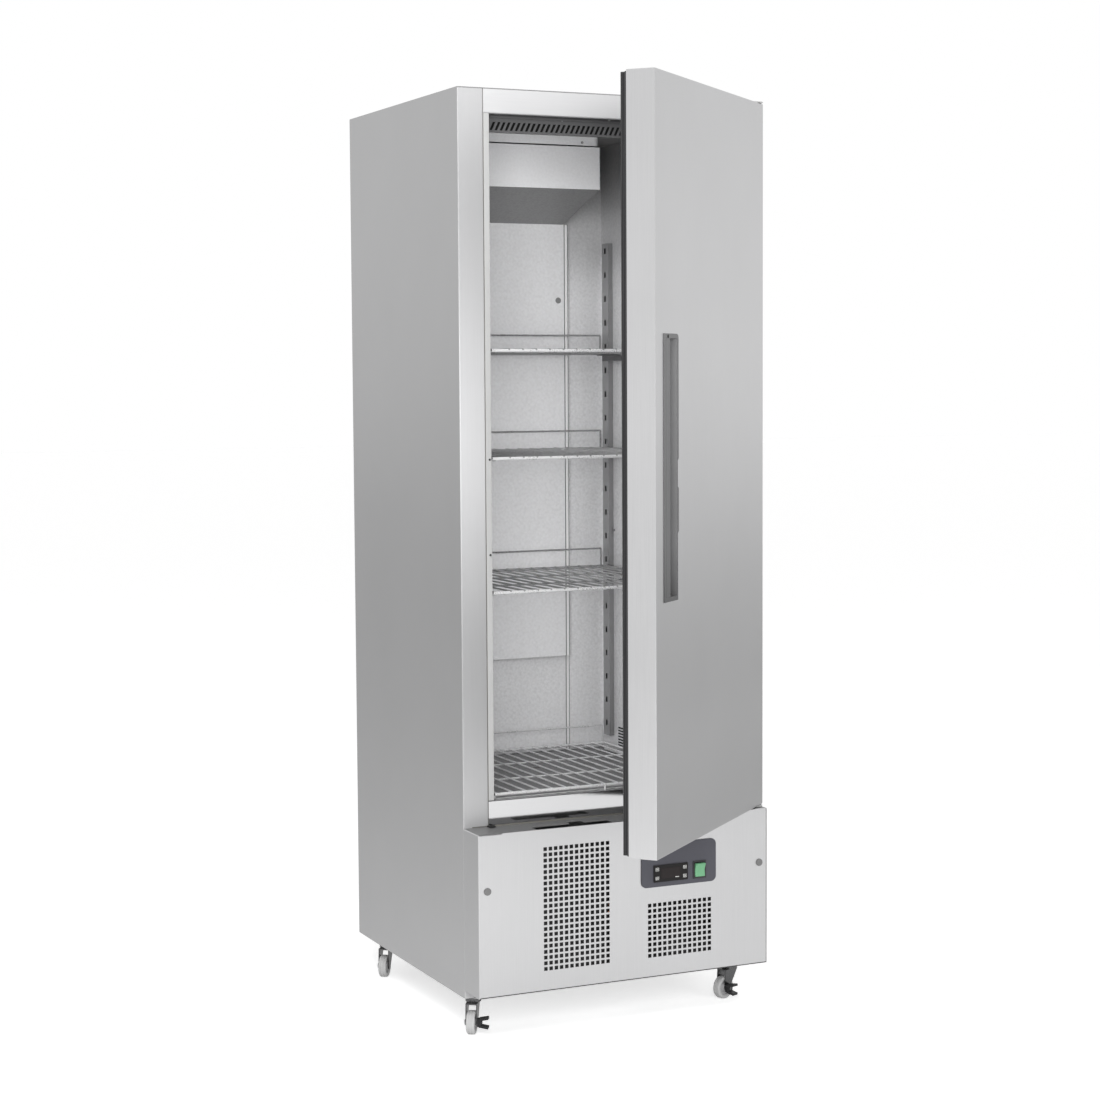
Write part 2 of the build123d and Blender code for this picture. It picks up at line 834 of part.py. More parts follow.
def control_windows():
    """Openings behind the controller and the mains switch, the same in the cover and in the plate."""
    fascia = Rectangle(fascia_width - 2 * window_margin, fascia_height - 2 * window_rim)
    switch = Rectangle(bezel_width - window_rim, bezel_height - window_rim)
    return [Pos(fascia_x, fascia_z) * fascia, Pos(rocker_x, rocker_z) * switch]


def front_cover():
    """Cover of the machine compartment: perforated front, two returns and two top corners."""
    face = Pos(0, (cover_top + cover_bottom) / 2) * Rectangle(width, cover_top - cover_bottom)
    grilles = [(left_grille_rows, left_grille_x), (right_grille_rows, right_grille_x)]
    cuts = [grille_window(*grille) for grille in grilles] + control_windows()
    hole = plug_stem + 2 * stem_clearance
    for x in (-plug_x_front, plug_x_front):
        cuts.append(Pos(x, front_plug_height) * Rectangle(hole, hole))
    cover = front_face(face - (Sketch() + cuts), cover_front, cover_sheet)
    for grille in grilles:
        for bars in grille_bars(*grille):
            cover += bars
    side = block(-half_width, -half_width + cover_sheet, cover_front, front_y, cover_bottom, cover_top)
    corner = block(-half_width, -stile_inner - corner_overlap, cover_front, front_y,
                   cover_top - cover_sheet, cover_top)
    lower = block(-half_width, half_width, cover_front, cover_front + cover_fold,
                  cover_bottom, cover_bottom + cover_sheet)
    return cover + side + mirrored(side) + corner + mirrored(corner) + lower


def ledge_plate():
    """Dark plate between the cover and the apron, with a stepped slot."""
    edge = stile_inner + corner_overlap - ledge_edge_gap
    top = cover_top - ledge_drop
    plate = block(-edge, edge, cover_front + cover_sheet + ledge_edge_gap, front_y, top - ledge_sheet, top)
    slot_front = cover_front + ledge_slot_margin
    slot = block(ledge_slot_x - ledge_slot_width / 2, ledge_slot_x + ledge_slot_width / 2,
                 slot_front, slot_front + ledge_slot_depth, top - 2 * ledge_sheet, top + 1)
    step_x = ledge_slot_x + ledge_step_shift
    step = block(step_x - ledge_step_width / 2, step_x + ledge_step_width / 2,
                 slot_front + ledge_slot_depth - 1, slot_front + ledge_slot_margin + 2 + ledge_step_depth,
                 top - 2 * ledge_sheet, top + 1)
    return plate - slot - step


def hole_plug(x, y, z, radius):
    """A flat cap on a square stem, pushed into a sheet from the front."""
    cap = Pos(x, y - plug_cap / 2, z) * Rot(90, 0, 0) * facetted(radius, plug_cap, 16)
    return cap + Pos(x, y + plug_stem / 2, z) * Box(plug_stem, plug_stem, plug_stem)


def hole_plugs():
    """Plastic plugs over the screw holes of the cover and the duct panel."""
    front = hole_plug(-plug_x_front, cover_front, front_plug_height, front_plug_radius)
    rear = hole_plug(-plug_x_rear, duct_front, rear_plug_height, rear_plug_radius)
    return group(front, mirrored(front), rear, mirrored(rear))


def control_plate():
    """Rounded plate on the cover that frames the controller and the mains rocker."""
    outline = Pos(plate_x, plate_z) * RectangleRounded(plate_width, plate_height, plate_corner)
    return front_face(outline - (Sketch() + control_windows()), plate_front, plate_sheet)


def key_places():
    """Middle of each controller key as (x, z)."""
    dx = fascia_width / 2 - key_side_margin
    dz = fascia_height / 2 - key_row_margin
    return [(fascia_x + x, fascia_z + z) for x in (-dx, dx) for z in (-dz, dz)]


def controller():
    """Temperature controller: a fascia with four key openings, on a deep case."""
    y = plate_front - fascia_depth
    face = Pos(fascia_x, fascia_z) * Rectangle(fascia_width, fascia_height)
    keys = [
        Pos(x, z) * Rectangle(key_width + 2 * key_gap, key_height + 2 * key_gap) for x, z in key_places()
    ]
    fascia = front_face(face - (Sketch() + keys), y, fascia_depth)
    case_outline = Rectangle(fascia_width - 2 * window_margin - 2 * case_clearance,
                             fascia_height - 2 * window_rim - 2 * case_clearance)
    return fascia + front_face(Pos(fascia_x, fascia_z) * case_outline, plate_front, case_depth)


def controller_key(x, z):
    """One push key, standing slightly proud of the fascia."""
    y = plate_front - fascia_depth - key_proud
    outline = Pos(x, z) * Rectangle(key_width, key_height)
    return front_face(outline, y, fascia_depth + key_proud - key_travel - key_stop)


def rocker_bezel():
    """Frame of the mains switch, with the well that the rocker turns in."""
    place = Pos(rocker_x, rocker_z)
    flange = place * Rectangle(bezel_width, bezel_height)
    well = place * Rectangle(rocker_width + 2 * rocker_gap, rocker_height + 4 * rocker_gap)
    body = place * Rectangle(bezel_width - bezel_side, bezel_height - bezel_side)
    return (front_face(flange, plate_front - bezel_flange, bezel_flange)
            + front_face(body, plate_front, bezel_body)
            - front_face(well, plate_front - bezel_flange - 1, bezel_body - 6))


def rocker():
    """Mains rocker, dished across its face, resting with its lower half pressed in."""
    half = rocker_height / 2
    crown = rocker_height * 0.224
    profile = make_face(Polyline(
        (-half, 0), (-half, 0.5 - crown), (-half + 1.2, -crown), (0, -crown / 2),
        (half - 1.2, -crown), (half, 0.5 - crown), (half, 0), (0, 4), close=True))
    plane = Plane(origin=(-rocker_width / 2, 0, 0), x_dir=(0, 0, 1), z_dir=(-1, 0, 0))
    body = extrude(plane * profile, -rocker_width)
    return Pos(rocker_x, plate_front - 0.5, rocker_z) * Rot(rocker_tilt, 0, 0) * body


def opened(shape):
    """Turn a piece of the closed door about the hinge axis to its resting angle."""
    return Pos(hinge_x, hinge_y, 0) * Rot(0, 0, door_rest_angle) * Pos(-hinge_x, -hinge_y, 0) * shape


def handle_pocket(shrink):
    """Plain outline of the handle recess in (x, z), drawn in by one amount."""
    middle = Pos(handle_left + handle_width / 2, (handle_bottom + handle_top) / 2)
    return middle * Rectangle(handle_width - 2 * shrink, handle_height - 2 * shrink)


def door_skin():
    """Outer door tray: face and four turned edges, cut out for the handle and the hinge bushes."""
    tray = block(door_left, door_right, door_outer, door_inner, door_bottom, door_top)
    tray -= block(door_left + skin, door_right - skin, door_outer + skin, door_inner + 1,
                  door_bottom + skin, door_top - skin)
    tray -= front_face(handle_pocket(handle_rim), door_outer - 1, skin + 2)
    pocket = bush_side + 2 * pocket_clearance
    tray -= Pos(hinge_x, hinge_y, (door_bottom + door_top) / 2) * Box(pocket, pocket, height)
    return tray


def door_liner():
    """Inner door panel: a flat border under the gasket and a raised middle."""
    border = block(door_left + skin, door_right - skin, door_inner - skin, door_inner,
                   door_bottom + skin, door_top - skin)
    wide = seal_right - door_left - 2 * seal_width - 30
    tall = door_top - door_bottom - 2 * seal_width - 44
    middle = ((door_left + seal_right) / 2, door_inner, (door_bottom + door_top) / 2)
    plane = Plane(origin=middle, x_dir=(1, 0, 0), z_dir=(0, 1, 0))
    return border + extrude(plane * Rectangle(wide, tall), raised_panel, taper=20)


def door_foam():
    """Foam core of the door."""
    core = block(door_left + skin, door_right - skin, door_outer + skin, door_inner - skin,
                 door_bottom + skin, door_top - skin)
    core -= front_face(handle_pocket(handle_rim - 0.5), door_outer - 1, handle_recess + 4)
    pocket = bush_side + 2 * pocket_clearance
    for z in (door_bottom, door_top):
        core -= Pos(hinge_x, hinge_y, z) * Box(pocket, pocket, 2 * bush_length)
    return core


def door_gasket():
    """Magnetic seal round the door: a flat base with two lips, mitred at the corners."""
    seal_left = door_left + seal_side_inset
    wide = seal_right - seal_left
    tall = door_top - door_bottom - 2 * seal_end_inset
    middle = Pos((seal_left + seal_right) / 2, (door_bottom + door_top) / 2)
    reach = seal_gap - seal_clearance

    def frame(outset, inset, thickness):
        outer = Rectangle(wide - 2 * outset, tall - 2 * outset)
        hole = Rectangle(wide - 2 * inset, tall - 2 * inset)
        return front_face(middle * (outer - hole), door_inner, thickness)

    base = frame(0, seal_width, seal_base)
    outer_lip = frame(1, seal_width / 3, reach)
    inner_lip = frame(seal_width / 2 + 1, seal_width - 1, reach)
    return base + outer_lip + inner_lip


def door_handle():
    """Moulded grip let into the door face: a rounded flange, an open trough and a grip lip."""
    middle = Pos(handle_left + handle_width / 2, (handle_bottom + handle_top) / 2)
    outline = middle * RectangleRounded(handle_width, handle_height, handle_corner)
    handle = front_face(outline, door_outer - handle_flange, handle_flange)
    handle += front_face(handle_pocket(handle_rim), door_outer, handle_recess)
    wall = handle_rim + handle_wall
    handle -= front_face(handle_pocket(wall), door_outer - handle_flange - 1, handle_recess + 1)
    grip = block(handle_left + wall, handle_left + wall + grip_width,
                 door_outer - handle_flange, door_outer - handle_flange + grip_sheet,
                 handle_bottom + wall, handle_top - wall)
    return handle + grip


def hinge_bushes():
    """Square bushes pressed into the door at both ends of the hinge axis."""
    bush = Box(bush_side, bush_side, bush_length) - Cylinder(pin_radius + pin_clearance, bush_length + 2)
    low = Pos(hinge_x, hinge_y, door_bottom + bush_length / 2) * bush
    high = Pos(hinge_x, hinge_y, door_top - bush_length / 2) * bush
    return group(opened(low), opened(high))


def hinge_bracket(z, foot_bottom, foot_top, pin_middle):
    """A hinge plate at height z, its foot flat on the front frame and its pin on the hinge axis."""
    left = hinge_x - bracket_half
    plate = block(left, door_right, hinge_y - bracket_reach, front_y, z, z + bracket_sheet)
    plate = chamfer(plate.edges().filter_by(Axis.Z).group_by(Axis.Y)[0], bracket_corner)
    foot = block(left, door_right, front_y - bracket_sheet, front_y, foot_bottom, foot_top)
    return plate + foot + Pos(hinge_x, hinge_y, pin_middle) * Cylinder(pin_radius, pin_length)


def hinge_brackets():
    """Hinge plates under and over the door, each with its pin."""
    low = door_bottom - bracket_gap - bracket_sheet
    high = door_top + bracket_gap
    middle = bracket_sheet / 2
    return group(
        hinge_bracket(low, low, low + bracket_sheet, low + middle + pin_length / 2),
        hinge_bracket(high, high - bracket_sheet, height - skin, high + middle - pin_length / 2),
    )


def placed(castor, shape):
    """Put a castor piece, built with its swivel axis at the origin and its trail along X, in place."""
    x, y, heading = castor_axes[castor]
    return Pos(x, y, 0) * Rot(0, 0, heading) * shape


def castor_plates():
    """Top plates of the four castors, each with the upper half of its swivel bearing."""
    plates = []
    for x, y, heading in castor_axes.values():
        plate = Pos(0, 0, -castor_plate_sheet / 2) * Box(castor_plate, castor_plate, castor_plate_sheet)
        race = Pos(0, 0, -castor_plate_sheet - race_height / 2) * facetted(swivel_radius, race_height, 16)
        plates.append(Pos(x, y, base_height) * (plate + race))
    return group(*plates)


def castor_fork(axle_stub):
    """Swivel fork: the lower bearing half, two cheeks raked back to the axle, and the axle."""
    crown_top = base_height - castor_plate_sheet - race_height - race_clearance
    crown_bottom = crown_top - crown_height
    crown = Pos(0, 0, (crown_top + crown_bottom) / 2) * facetted(swivel_radius, crown_height, 16)
    outer = fork_inner + fork_sheet
    cheek_outline = make_face(Polyline(
        (-12, crown_bottom), (trail + 5, crown_bottom), (trail + 8, wheel_radius),
        (trail + 4, wheel_radius - 7), (trail - 4, wheel_radius - 7), (trail - 9, wheel_radius), close=True))
    cheek = extrude(Plane.XZ.offset(-outer) * cheek_outline, fork_sheet)
    bridge = block(-12, trail + 5, -fork_inner, fork_inner, crown_bottom - 3, crown_bottom)
    axle = Pos(trail, axle_stub / 2, wheel_radius) * Rot(90, 0, 0) * Cylinder(
        axle_radius, 2 * fork_inner + fork_sheet + axle_stub)
    return crown + bridge + cheek + mirror(cheek, Plane.XZ) + axle


def castor_wheel():
    """Solid wheel with a bored hub."""
    wheel = Cylinder(wheel_radius, wheel_width) - Cylinder(axle_radius + running_clearance, 2 * wheel_width)
    return Pos(trail, 0, wheel_radius) * Rot(90, 0, 0) * wheel


def brake_pedal():
    """Side brake lever: a boss on the end of the axle and two foot pads spread outwards from it."""
    inner = fork_inner + fork_sheet + pedal_clearance
    boss = Pos(0, pedal_thickness / 2, 0) * Box(pedal_boss, pedal_thickness, pedal_boss)
    upper = Pos(0, pad_length / 2, pad_rise) * Rot(pad_lean, 0, 0) * Box(pad_width, pad_length, pad_thickness)
    lower = Pos(0, pad_length / 2, -pad_rise) * Rot(-pad_lean, 0, 0) * Box(
        pad_width, pad_length, pad_thickness)
    pedal = boss + Pos(0, pad_start, 0) * (upper + lower)
    pedal -= Rot(90, 0, 0) * Cylinder(axle_radius + running_clearance, 2 * pedal_thickness + pad_length)
    return Pos(trail, inner, wheel_radius) * pedal


def air_grille():
    """Plastic strip under the ceiling with leaning slots, folded back at its lower edge."""
    half = cavity_half - 1.0
    middle = Pos(0, (vent_strip_bottom + ceiling_height) / 2)
    face = middle * Rectangle(2 * half, vent_strip_height)
    lean = vent_lean / 2
    up = vent_height / 2
    w = vent_slot / 2
    slot = make_face(Polyline(
        (-w - lean, -up), (w - lean, -up), (w + lean, up), (-w + lean, up), close=True))
    count = int(2 * (half - vent_end_margin) // vent_pitch)
    row = Pos(0, vent_strip_bottom + up + vent_rise)
    slots = [row * place * slot for place in GridLocations(vent_pitch, 1, count, 1)]
    strip = front_face(face - (Sketch() + slots), vent_y, vent_strip_sheet)
    rim = block(-half, half, vent_y - 4, vent_y, ceiling_height - 12, ceiling_height - 8)
    fold = block(-half, half, vent_y, vent_y + vent_strip_fold,
                 vent_strip_bottom, vent_strip_bottom + vent_strip_sheet)
    return strip + rim + fold


left_side = side_panel()
right_side = mirrored(left_side)
header = header_panel()
apron = front_apron()
strips = breaker_strips()
roof = top_panel()

save("left_side_panel", left_side)
save("right_side_panel", right_side)
save("top_panel", roof)
save("rear_panel", rear_panel())
save("header_panel", header)
save("front_apron", apron)
save("breaker_strips", strips)
save("liner_panels", liner_panels())
save("insulation", insulation([left_side, right_side, header, apron, roof] + list(strips.solids())))
save("pilasters", pilasters())
save("shelf_rails", shelf_rails())
for number, level in enumerate(shelf_levels, start=1):
    save(f"wire_shelf_{number}", wire_shelf(level))
save("bottom_shelf", bottom_shelf())
save("air_grille", air_grille())
save("duct_panel", duct_panel())
save("evaporator_cover", evaporator_cover())
save("evaporator_coil", evaporator_coil())
save("evaporator_fan",
     fan(evaporator_fan_radius, 0, evaporator_fan_y, evaporator_fan_z, evaporator_fan_depth))
save("condenser_coil", condenser_coil())
save("fan_shroud", fan_shroud())
save("condenser_fan",
     fan(condenser_fan_radius, coil_x, condenser_fan_y, fan_centre_z, condenser_fan_depth))
save("fan_motors", fan_motors())
save("compressor", compressor())
save("refrigerant_pipes", refrigerant_pipes())
save("evaporating_tray", evaporating_tray())
save("base_pan", base_pan())
save("rear_grille", rear_grille())
save("cable_gland", cable_gland())
save("front_cover", front_cover())
save("ledge_plate", ledge_plate())
save("hole_plugs", hole_plugs())
save("control_plate", control_plate())
save("controller", controller())
for number, (x, z) in enumerate(key_places(), start=1):
    save(f"controller_key_{number}", controller_key(x, z))
save("rocker_bezel", rocker_bezel())
save("rocker", rocker())
save("door_skin", opened(door_skin()))
save("door_liner", opened(door_liner()))
save("door_foam", opened(door_foam()))
save("door_gasket", opened(door_gasket()))
save("door_handle", opened(door_handle()))
save("hinge_bushes", hinge_bushes())
save("hinge_brackets", hinge_brackets())
save("castor_plates", castor_plates())
for castor in castor_axes:
    braked = castor.startswith("front")
    save(f"castor_fork_{castor}", placed(castor, castor_fork(stub_length if braked else 0)))
    save(f"castor_wheel_{castor}", placed(castor, castor_wheel()))
    if braked:
        save(f"brake_pedal_{castor}", placed(castor, brake_pedal()))
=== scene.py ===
import math

import bpy
from mathutils import Matrix, Vector


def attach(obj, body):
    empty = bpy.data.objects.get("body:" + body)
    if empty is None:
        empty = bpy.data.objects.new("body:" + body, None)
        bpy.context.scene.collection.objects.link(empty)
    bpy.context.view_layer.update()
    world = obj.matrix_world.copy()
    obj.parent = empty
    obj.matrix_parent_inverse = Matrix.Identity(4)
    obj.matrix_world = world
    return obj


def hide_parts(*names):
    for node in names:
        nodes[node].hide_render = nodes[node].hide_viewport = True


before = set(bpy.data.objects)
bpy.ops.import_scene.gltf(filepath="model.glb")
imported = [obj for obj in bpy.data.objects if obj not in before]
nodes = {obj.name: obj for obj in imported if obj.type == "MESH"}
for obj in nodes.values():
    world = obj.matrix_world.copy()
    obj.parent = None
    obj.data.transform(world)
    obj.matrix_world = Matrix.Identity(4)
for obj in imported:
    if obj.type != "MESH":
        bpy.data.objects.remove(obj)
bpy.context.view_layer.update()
bpy.ops.object.select_all(action="DESELECT")

# Base pan, rear sheets, roof and fan shroud
# Galvanised steel sheets under the lacquer, folded on a press and screwed to the side panels.
# The zinc has crystals a few centimetres wide, and the rear ones carry slots for the warm air.


def blank_material(name):
    """A new material: its tree, its shader and the coordinates of the piece itself."""
    material = bpy.data.materials.new(name)
    material.use_nodes = True
    tree = material.node_tree
    coords = tree.nodes.new("ShaderNodeTexCoord")
    return material, tree, tree.nodes["Principled BSDF"], coords.outputs["Object"]


def connect(tree, node, inputs):
    """Link sockets to the named inputs of a node, or set the inputs to plain values."""
    for label, value in inputs.items():
        if isinstance(value, bpy.types.NodeSocket):
            tree.links.new(value, node.inputs[label])
        else:
            node.inputs[label].default_value = value


def make_node(tree, kind, inputs=None, **settings):
    """A shader node with its settings and its inputs."""
    node = tree.nodes.new("ShaderNode" + kind)
    for label, value in settings.items():
        setattr(node, label, value)
    connect(tree, node, inputs or {})
    return node


def add_bump(tree, shader, height, strength, distance):
    """Relief from a height, in metres at full strength."""
    bump = make_node(tree, "Bump", {"Strength": strength, "Distance": distance, "Height": height})
    connect(tree, shader, {"Normal": bump.outputs["Normal"]})


def new_group(name, given):
    """An empty shader group: its named inputs, and outputs for colour, roughness and height."""
    group = bpy.data.node_groups.new(name, "ShaderNodeTree")
    for label, kind, value in given:
        socket = group.interface.new_socket(name=label, in_out="INPUT", socket_type="NodeSocket" + kind)
        socket.default_value = value
    for label, kind in (("Color", "Color"), ("Roughness", "Float"), ("Height", "Float")):
        group.interface.new_socket(name=label, in_out="OUTPUT", socket_type="NodeSocket" + kind)
    return group, group.nodes.new("NodeGroupInput").outputs, group.nodes.new("NodeGroupOutput")


def group_material(name, group, inputs, grain, relief, metallic):
    """A material whose colour, roughness and relief come from a shader group."""
    material, tree, shader, coords = blank_material(name)
    effect = make_node(tree, "Group", node_tree=group)
    connect(tree, effect, inputs)
    connect(tree, shader, {
        "Base Color": effect.outputs["Color"], "Roughness": effect.outputs["Roughness"],
        "Metallic": metallic})
    add_bump(tree, shader, effect.outputs["Height"], grain, relief)
    return material


def build_mottle():
    """Fine grain with soft clouds, the surface of lacquer, plastic, rubber and cast or plated metal."""
    group, given, result = new_group(
        "mottled_surface",
        [("Tone", "Color", (0.5, 0.5, 0.5, 1)), ("Contrast", "Float", 0.1), ("Scale", "Float", 800.0),
         ("Roughness", "Float", 0.5), ("Spread", "Float", 0.1)])
    coords = make_node(group, "TexCoord").outputs["Object"]
    fine = make_node(group, "TexNoise", {
        "Vector": coords, "Scale": given["Scale"], "Detail": 3}).outputs["Fac"]
    cloud = make_node(group, "TexNoise", {"Vector": coords, "Scale": 14, "Detail": 4}).outputs["Fac"]
    both = make_node(group, "Math", {0: fine, 1: cloud}, operation="ADD").outputs[0]
    around = make_node(group, "Math", {0: both, 1: 1.0}, operation="SUBTRACT").outputs[0]
    shade = make_node(group, "Math", {0: around, 1: given["Contrast"], 2: 1.0}, operation="MULTIPLY_ADD")
    tint = make_node(group, "VectorMath", {0: given["Tone"], "Scale": shade.outputs[0]}, operation="SCALE")
    rough = make_node(group, "Math", {0: around, 1: given["Spread"], 2: given["Roughness"]},
                      operation="MULTIPLY_ADD")
    connect(group, result, {"Color": tint.outputs[0], "Roughness": rough.outputs[0], "Height": fine})
    return group


mottle = build_mottle()


def mottled(name, tone, scale=800.0, contrast=0.1, roughness=0.5, spread=0.1, relief=0.0001, metallic=0.0):
    """A material whose colour, roughness and relief come from the mottled surface."""
    inputs = {"Tone": (*tone, 1), "Contrast": contrast, "Scale": scale, "Roughness": roughness,
              "Spread": spread}
    return group_material(name, mottle, inputs, 0.5, relief, metallic)


def galvanised_material():
    """Zinc crystals of two greys under a thin dull lacquer."""
    material, tree, shader, coords = blank_material("galvanised_sheet")
    crystals = make_node(tree, "TexVoronoi", {"Vector": coords, "Scale": 60})
    greys = make_node(tree, "ValToRGB", {"Fac": crystals.outputs["Color"]})
    greys.color_ramp.elements[0].color = (0.40, 0.40, 0.40, 1)
    greys.color_ramp.elements[1].color = (0.50, 0.50, 0.505, 1)
    dull = make_node(tree, "MapRange", {"Value": crystals.outputs["Color"], "To Min": 0.42, "To Max": 0.58})
    connect(tree, shader, {
        "Base Color": greys.outputs["Color"], "Roughness": dull.outputs["Result"], "Metallic": 0.8})
    add_bump(tree, shader, crystals.outputs["Distance"], 0.15, 0.0004)
    return material


def dress(piece, material):
    """Give one material to a whole piece, whether it has material slots yet or not."""
    if not piece.material_slots:
        piece.data.materials.append(material)
    for slot in piece.material_slots:
        slot.material = material


galvanised = galvanised_material()
for node in ("base_pan", "rear_panel", "top_panel", "rear_grille", "fan_shroud"):
    dress(nodes[node], galvanised)

# Condensing unit
# Behind the lower cover: a finned coil, a plastic fan in front of its motor, and a black enamelled
# compressor on rubber feet, joined by copper line. It stands on the base pan.

enamel = mottled("black_enamel", (0.018, 0.018, 0.019), 500, 0.3, 0.32, 0.1, 0.0002)
fins = mottled("bare_fins", (0.50, 0.50, 0.51), 900, 0.3, 0.42, 0.2, 0.0004, 0.9)
black_fins = mottled("black_fins", (0.022, 0.022, 0.023), 900, 0.3, 0.5, 0.2, 0.0004)
copper = mottled("drawn_copper", (0.52, 0.22, 0.12), 300, 0.3, 0.30, 0.2, 0.0001, 1.0)
dull_metal = mottled("motor_case", (0.10, 0.10, 0.105), 400, 0.3, 0.5, 0.2, 0.0002, 0.6)
black_plastic = mottled("black_plastic", (0.02, 0.02, 0.021), 900, 0.2, 0.45, 0.1, 0.0001)
foam = mottled("foam_block", (0.16, 0.155, 0.14), 300, 0.2, 0.9, 0.05, 0.0006)
dress(nodes["compressor"], enamel)
dress(nodes["condenser_coil"], black_fins)
dress(nodes["evaporator_coil"], fins)
dress(nodes["refrigerant_pipes"], copper)
dress(nodes["fan_motors"], dull_metal)
for node in ("condenser_fan", "evaporator_fan", "evaporating_tray", "cable_gland", "hinge_bushes"):
    dress(nodes[node], black_plastic)
dress(nodes["insulation"], foam)
dress(nodes["door_foam"], foam)

# Outer side panels
# Stainless sheet 1 mm thick with upright brushing, one piece from the rear flange round the side
# to the front stile and the lip inside the door opening. The folds are round, the foot is cut back.


def two_tones(group, given, share):
    """A mix of the dark and the light tone given to a group."""
    return make_node(group, "Mix", {"Factor": share, "A": given["Dark"], "B": given["Light"]}, data_type="RGBA")


def build_brushing():
    """Brushed stainless sheet: drawn-out streaks of two greys, with faint clouds over them."""
    group, given, result = new_group(
        "brushed_sheet",
        [("Stretch", "Vector", (900.0, 900.0, 6.0)), ("Dark", "Color", (0.4, 0.4, 0.4, 1)),
         ("Light", "Color", (0.5, 0.5, 0.5, 1)), ("Smooth", "Float", 0.25), ("Rough", "Float", 0.40)])
    coords = make_node(group, "TexCoord").outputs["Object"]
    drawn = make_node(group, "VectorMath", {0: coords, 1: given["Stretch"]},
                      operation="MULTIPLY").outputs[0]
    streaks = make_node(group, "TexNoise", {
        "Vector": drawn, "Scale": 1.0, "Detail": 4, "Roughness": 0.65}).outputs["Fac"]
    clouds = make_node(group, "TexNoise", {"Vector": coords, "Scale": 5, "Detail": 3}).outputs["Fac"]
    share = make_node(group, "Mix", {"Factor": 0.35, "A": streaks, "B": clouds}).outputs["Result"]
    tone = two_tones(group, given, share)
    rough = make_node(group, "MapRange", {
        "Value": streaks, "To Min": given["Smooth"], "To Max": given["Rough"]})
    connect(group, result, {
        "Color": tone.outputs["Result"], "Roughness": rough.outputs["Result"], "Height": streaks})
    return group


brushing = build_brushing()


def cool_grey(level):
    """A grey that is one part in a hundred bluer than neutral."""
    return level, level, level * 1.01, 1


def brushed(name, stretch, dark, light, smooth, rough, relief=0.00004, metallic=1.0):
    """Bare stainless steel, brushed along the axis that has the small number in the stretch."""
    inputs = {"Stretch": stretch, "Dark": cool_grey(dark), "Light": cool_grey(light), "Smooth": smooth,
              "Rough": rough}
    return group_material(name, brushing, inputs, 0.5, relief, metallic)


def place_in(tree):
    """The place on the piece itself, axis by axis."""
    coords = tree.nodes["Texture Coordinate"].outputs["Object"]
    return make_node(tree, "SeparateXYZ", {0: coords}).outputs


def colour_beyond(tree, axis, limit, before, beyond):
    """One colour up to a limit along an axis of the piece, and another beyond it."""
    past = make_node(tree, "Math", {0: place_in(tree)[axis], 1: limit}, operation="GREATER_THAN").outputs[0]
    mix = make_node(tree, "Mix", {"Factor": past, "A": before, "B": beyond}, data_type="RGBA")
    return mix.outputs["Result"]


def colour_of(material):
    """The tree and shader of a material, and the socket that colours it."""
    shader = material.node_tree.nodes["Principled BSDF"]
    return material.node_tree, shader, shader.inputs["Base Color"].links[0].from_socket


def painted_light_by_height(material, levels, from_x=None):
    """Paint light and shade on a tall piece as a tone that varies slowly from foot to top: pairs of height and
    factor, in order.

    With from_x, only what lies to the right of that x is changed.
    """
    tree, shader, plain_colour = colour_of(material)
    lowest, highest = levels[0][0], levels[-1][0]
    share = make_node(tree, "MapRange", {
        "Value": place_in(tree)["Z"], "From Min": lowest, "From Max": highest})
    ramp = make_node(tree, "ValToRGB", {"Fac": share.outputs["Result"]})
    ramp.color_ramp.interpolation = "EASE"
    stops = ramp.color_ramp.elements
    for number, (height, factor) in enumerate(levels):
        position = (height - lowest) / (highest - lowest)
        stop = stops[0] if number == 0 else stops[-1] if number == len(levels) - 1 else stops.new(position)
        stop.color = (factor / 2, factor / 2, factor / 2, 1)
    halved = make_node(tree, "VectorMath", {0: plain_colour, 1: ramp.outputs["Color"]},
                       operation="MULTIPLY").outputs[0]
    toned = make_node(tree, "VectorMath", {0: halved, "Scale": 2.0}, operation="SCALE").outputs[0]
    if from_x is not None:
        toned = colour_beyond(tree, "X", from_x, plain_colour, toned)
    connect(tree, shader, {"Base Color": toned})


def pick(piece):
    """Make one piece the only selected and active one."""
    bpy.ops.object.select_all(action="DESELECT")
    piece.select_set(True)
    bpy.context.view_layer.objects.active = piece


def choose(piece, kind, test):
    """Open a piece for editing, with only those faces, edges or corners selected that pass a test."""
    pick(piece)
    bpy.ops.object.mode_set(mode="EDIT")
    bpy.ops.mesh.select_mode(type=kind)
    bpy.ops.mesh.select_all(action="DESELECT")
    bpy.ops.object.mode_set(mode="OBJECT")
    parts = {"FACE": piece.data.polygons, "EDGE": piece.data.edges, "VERT": piece.data.vertices}[kind]
    for part in parts:
        part.select = test(part)
    bpy.ops.object.mode_set(mode="EDIT")


def everything(part):
    """Passes every face, edge or corner."""
    return True


def edit(piece, kind, test, action, **settings):
    """Do one edit on the faces, edges or corners of a piece that pass a test."""
    choose(piece, kind, test)
    action(**settings)
    bpy.ops.object.mode_set(mode="OBJECT")


def flip(piece):
    """Turn a piece inside out."""
    edit(piece, "FACE", everything, bpy.ops.mesh.flip_normals)


def edge_counts(piece):
    """How many faces meet at each edge."""
    counts = {}
    for face in piece.data.polygons:
        for key in face.edge_keys:
            counts[key] = counts.get(key, 0) + 1
    return counts


def dress_faces(piece, material, test):
    """Give a further material to the faces that pass a test."""
    piece.data.materials.append(material)
    for face in piece.data.polygons:
        if test(face):
            face.material_index = len(piece.data.materials) - 1


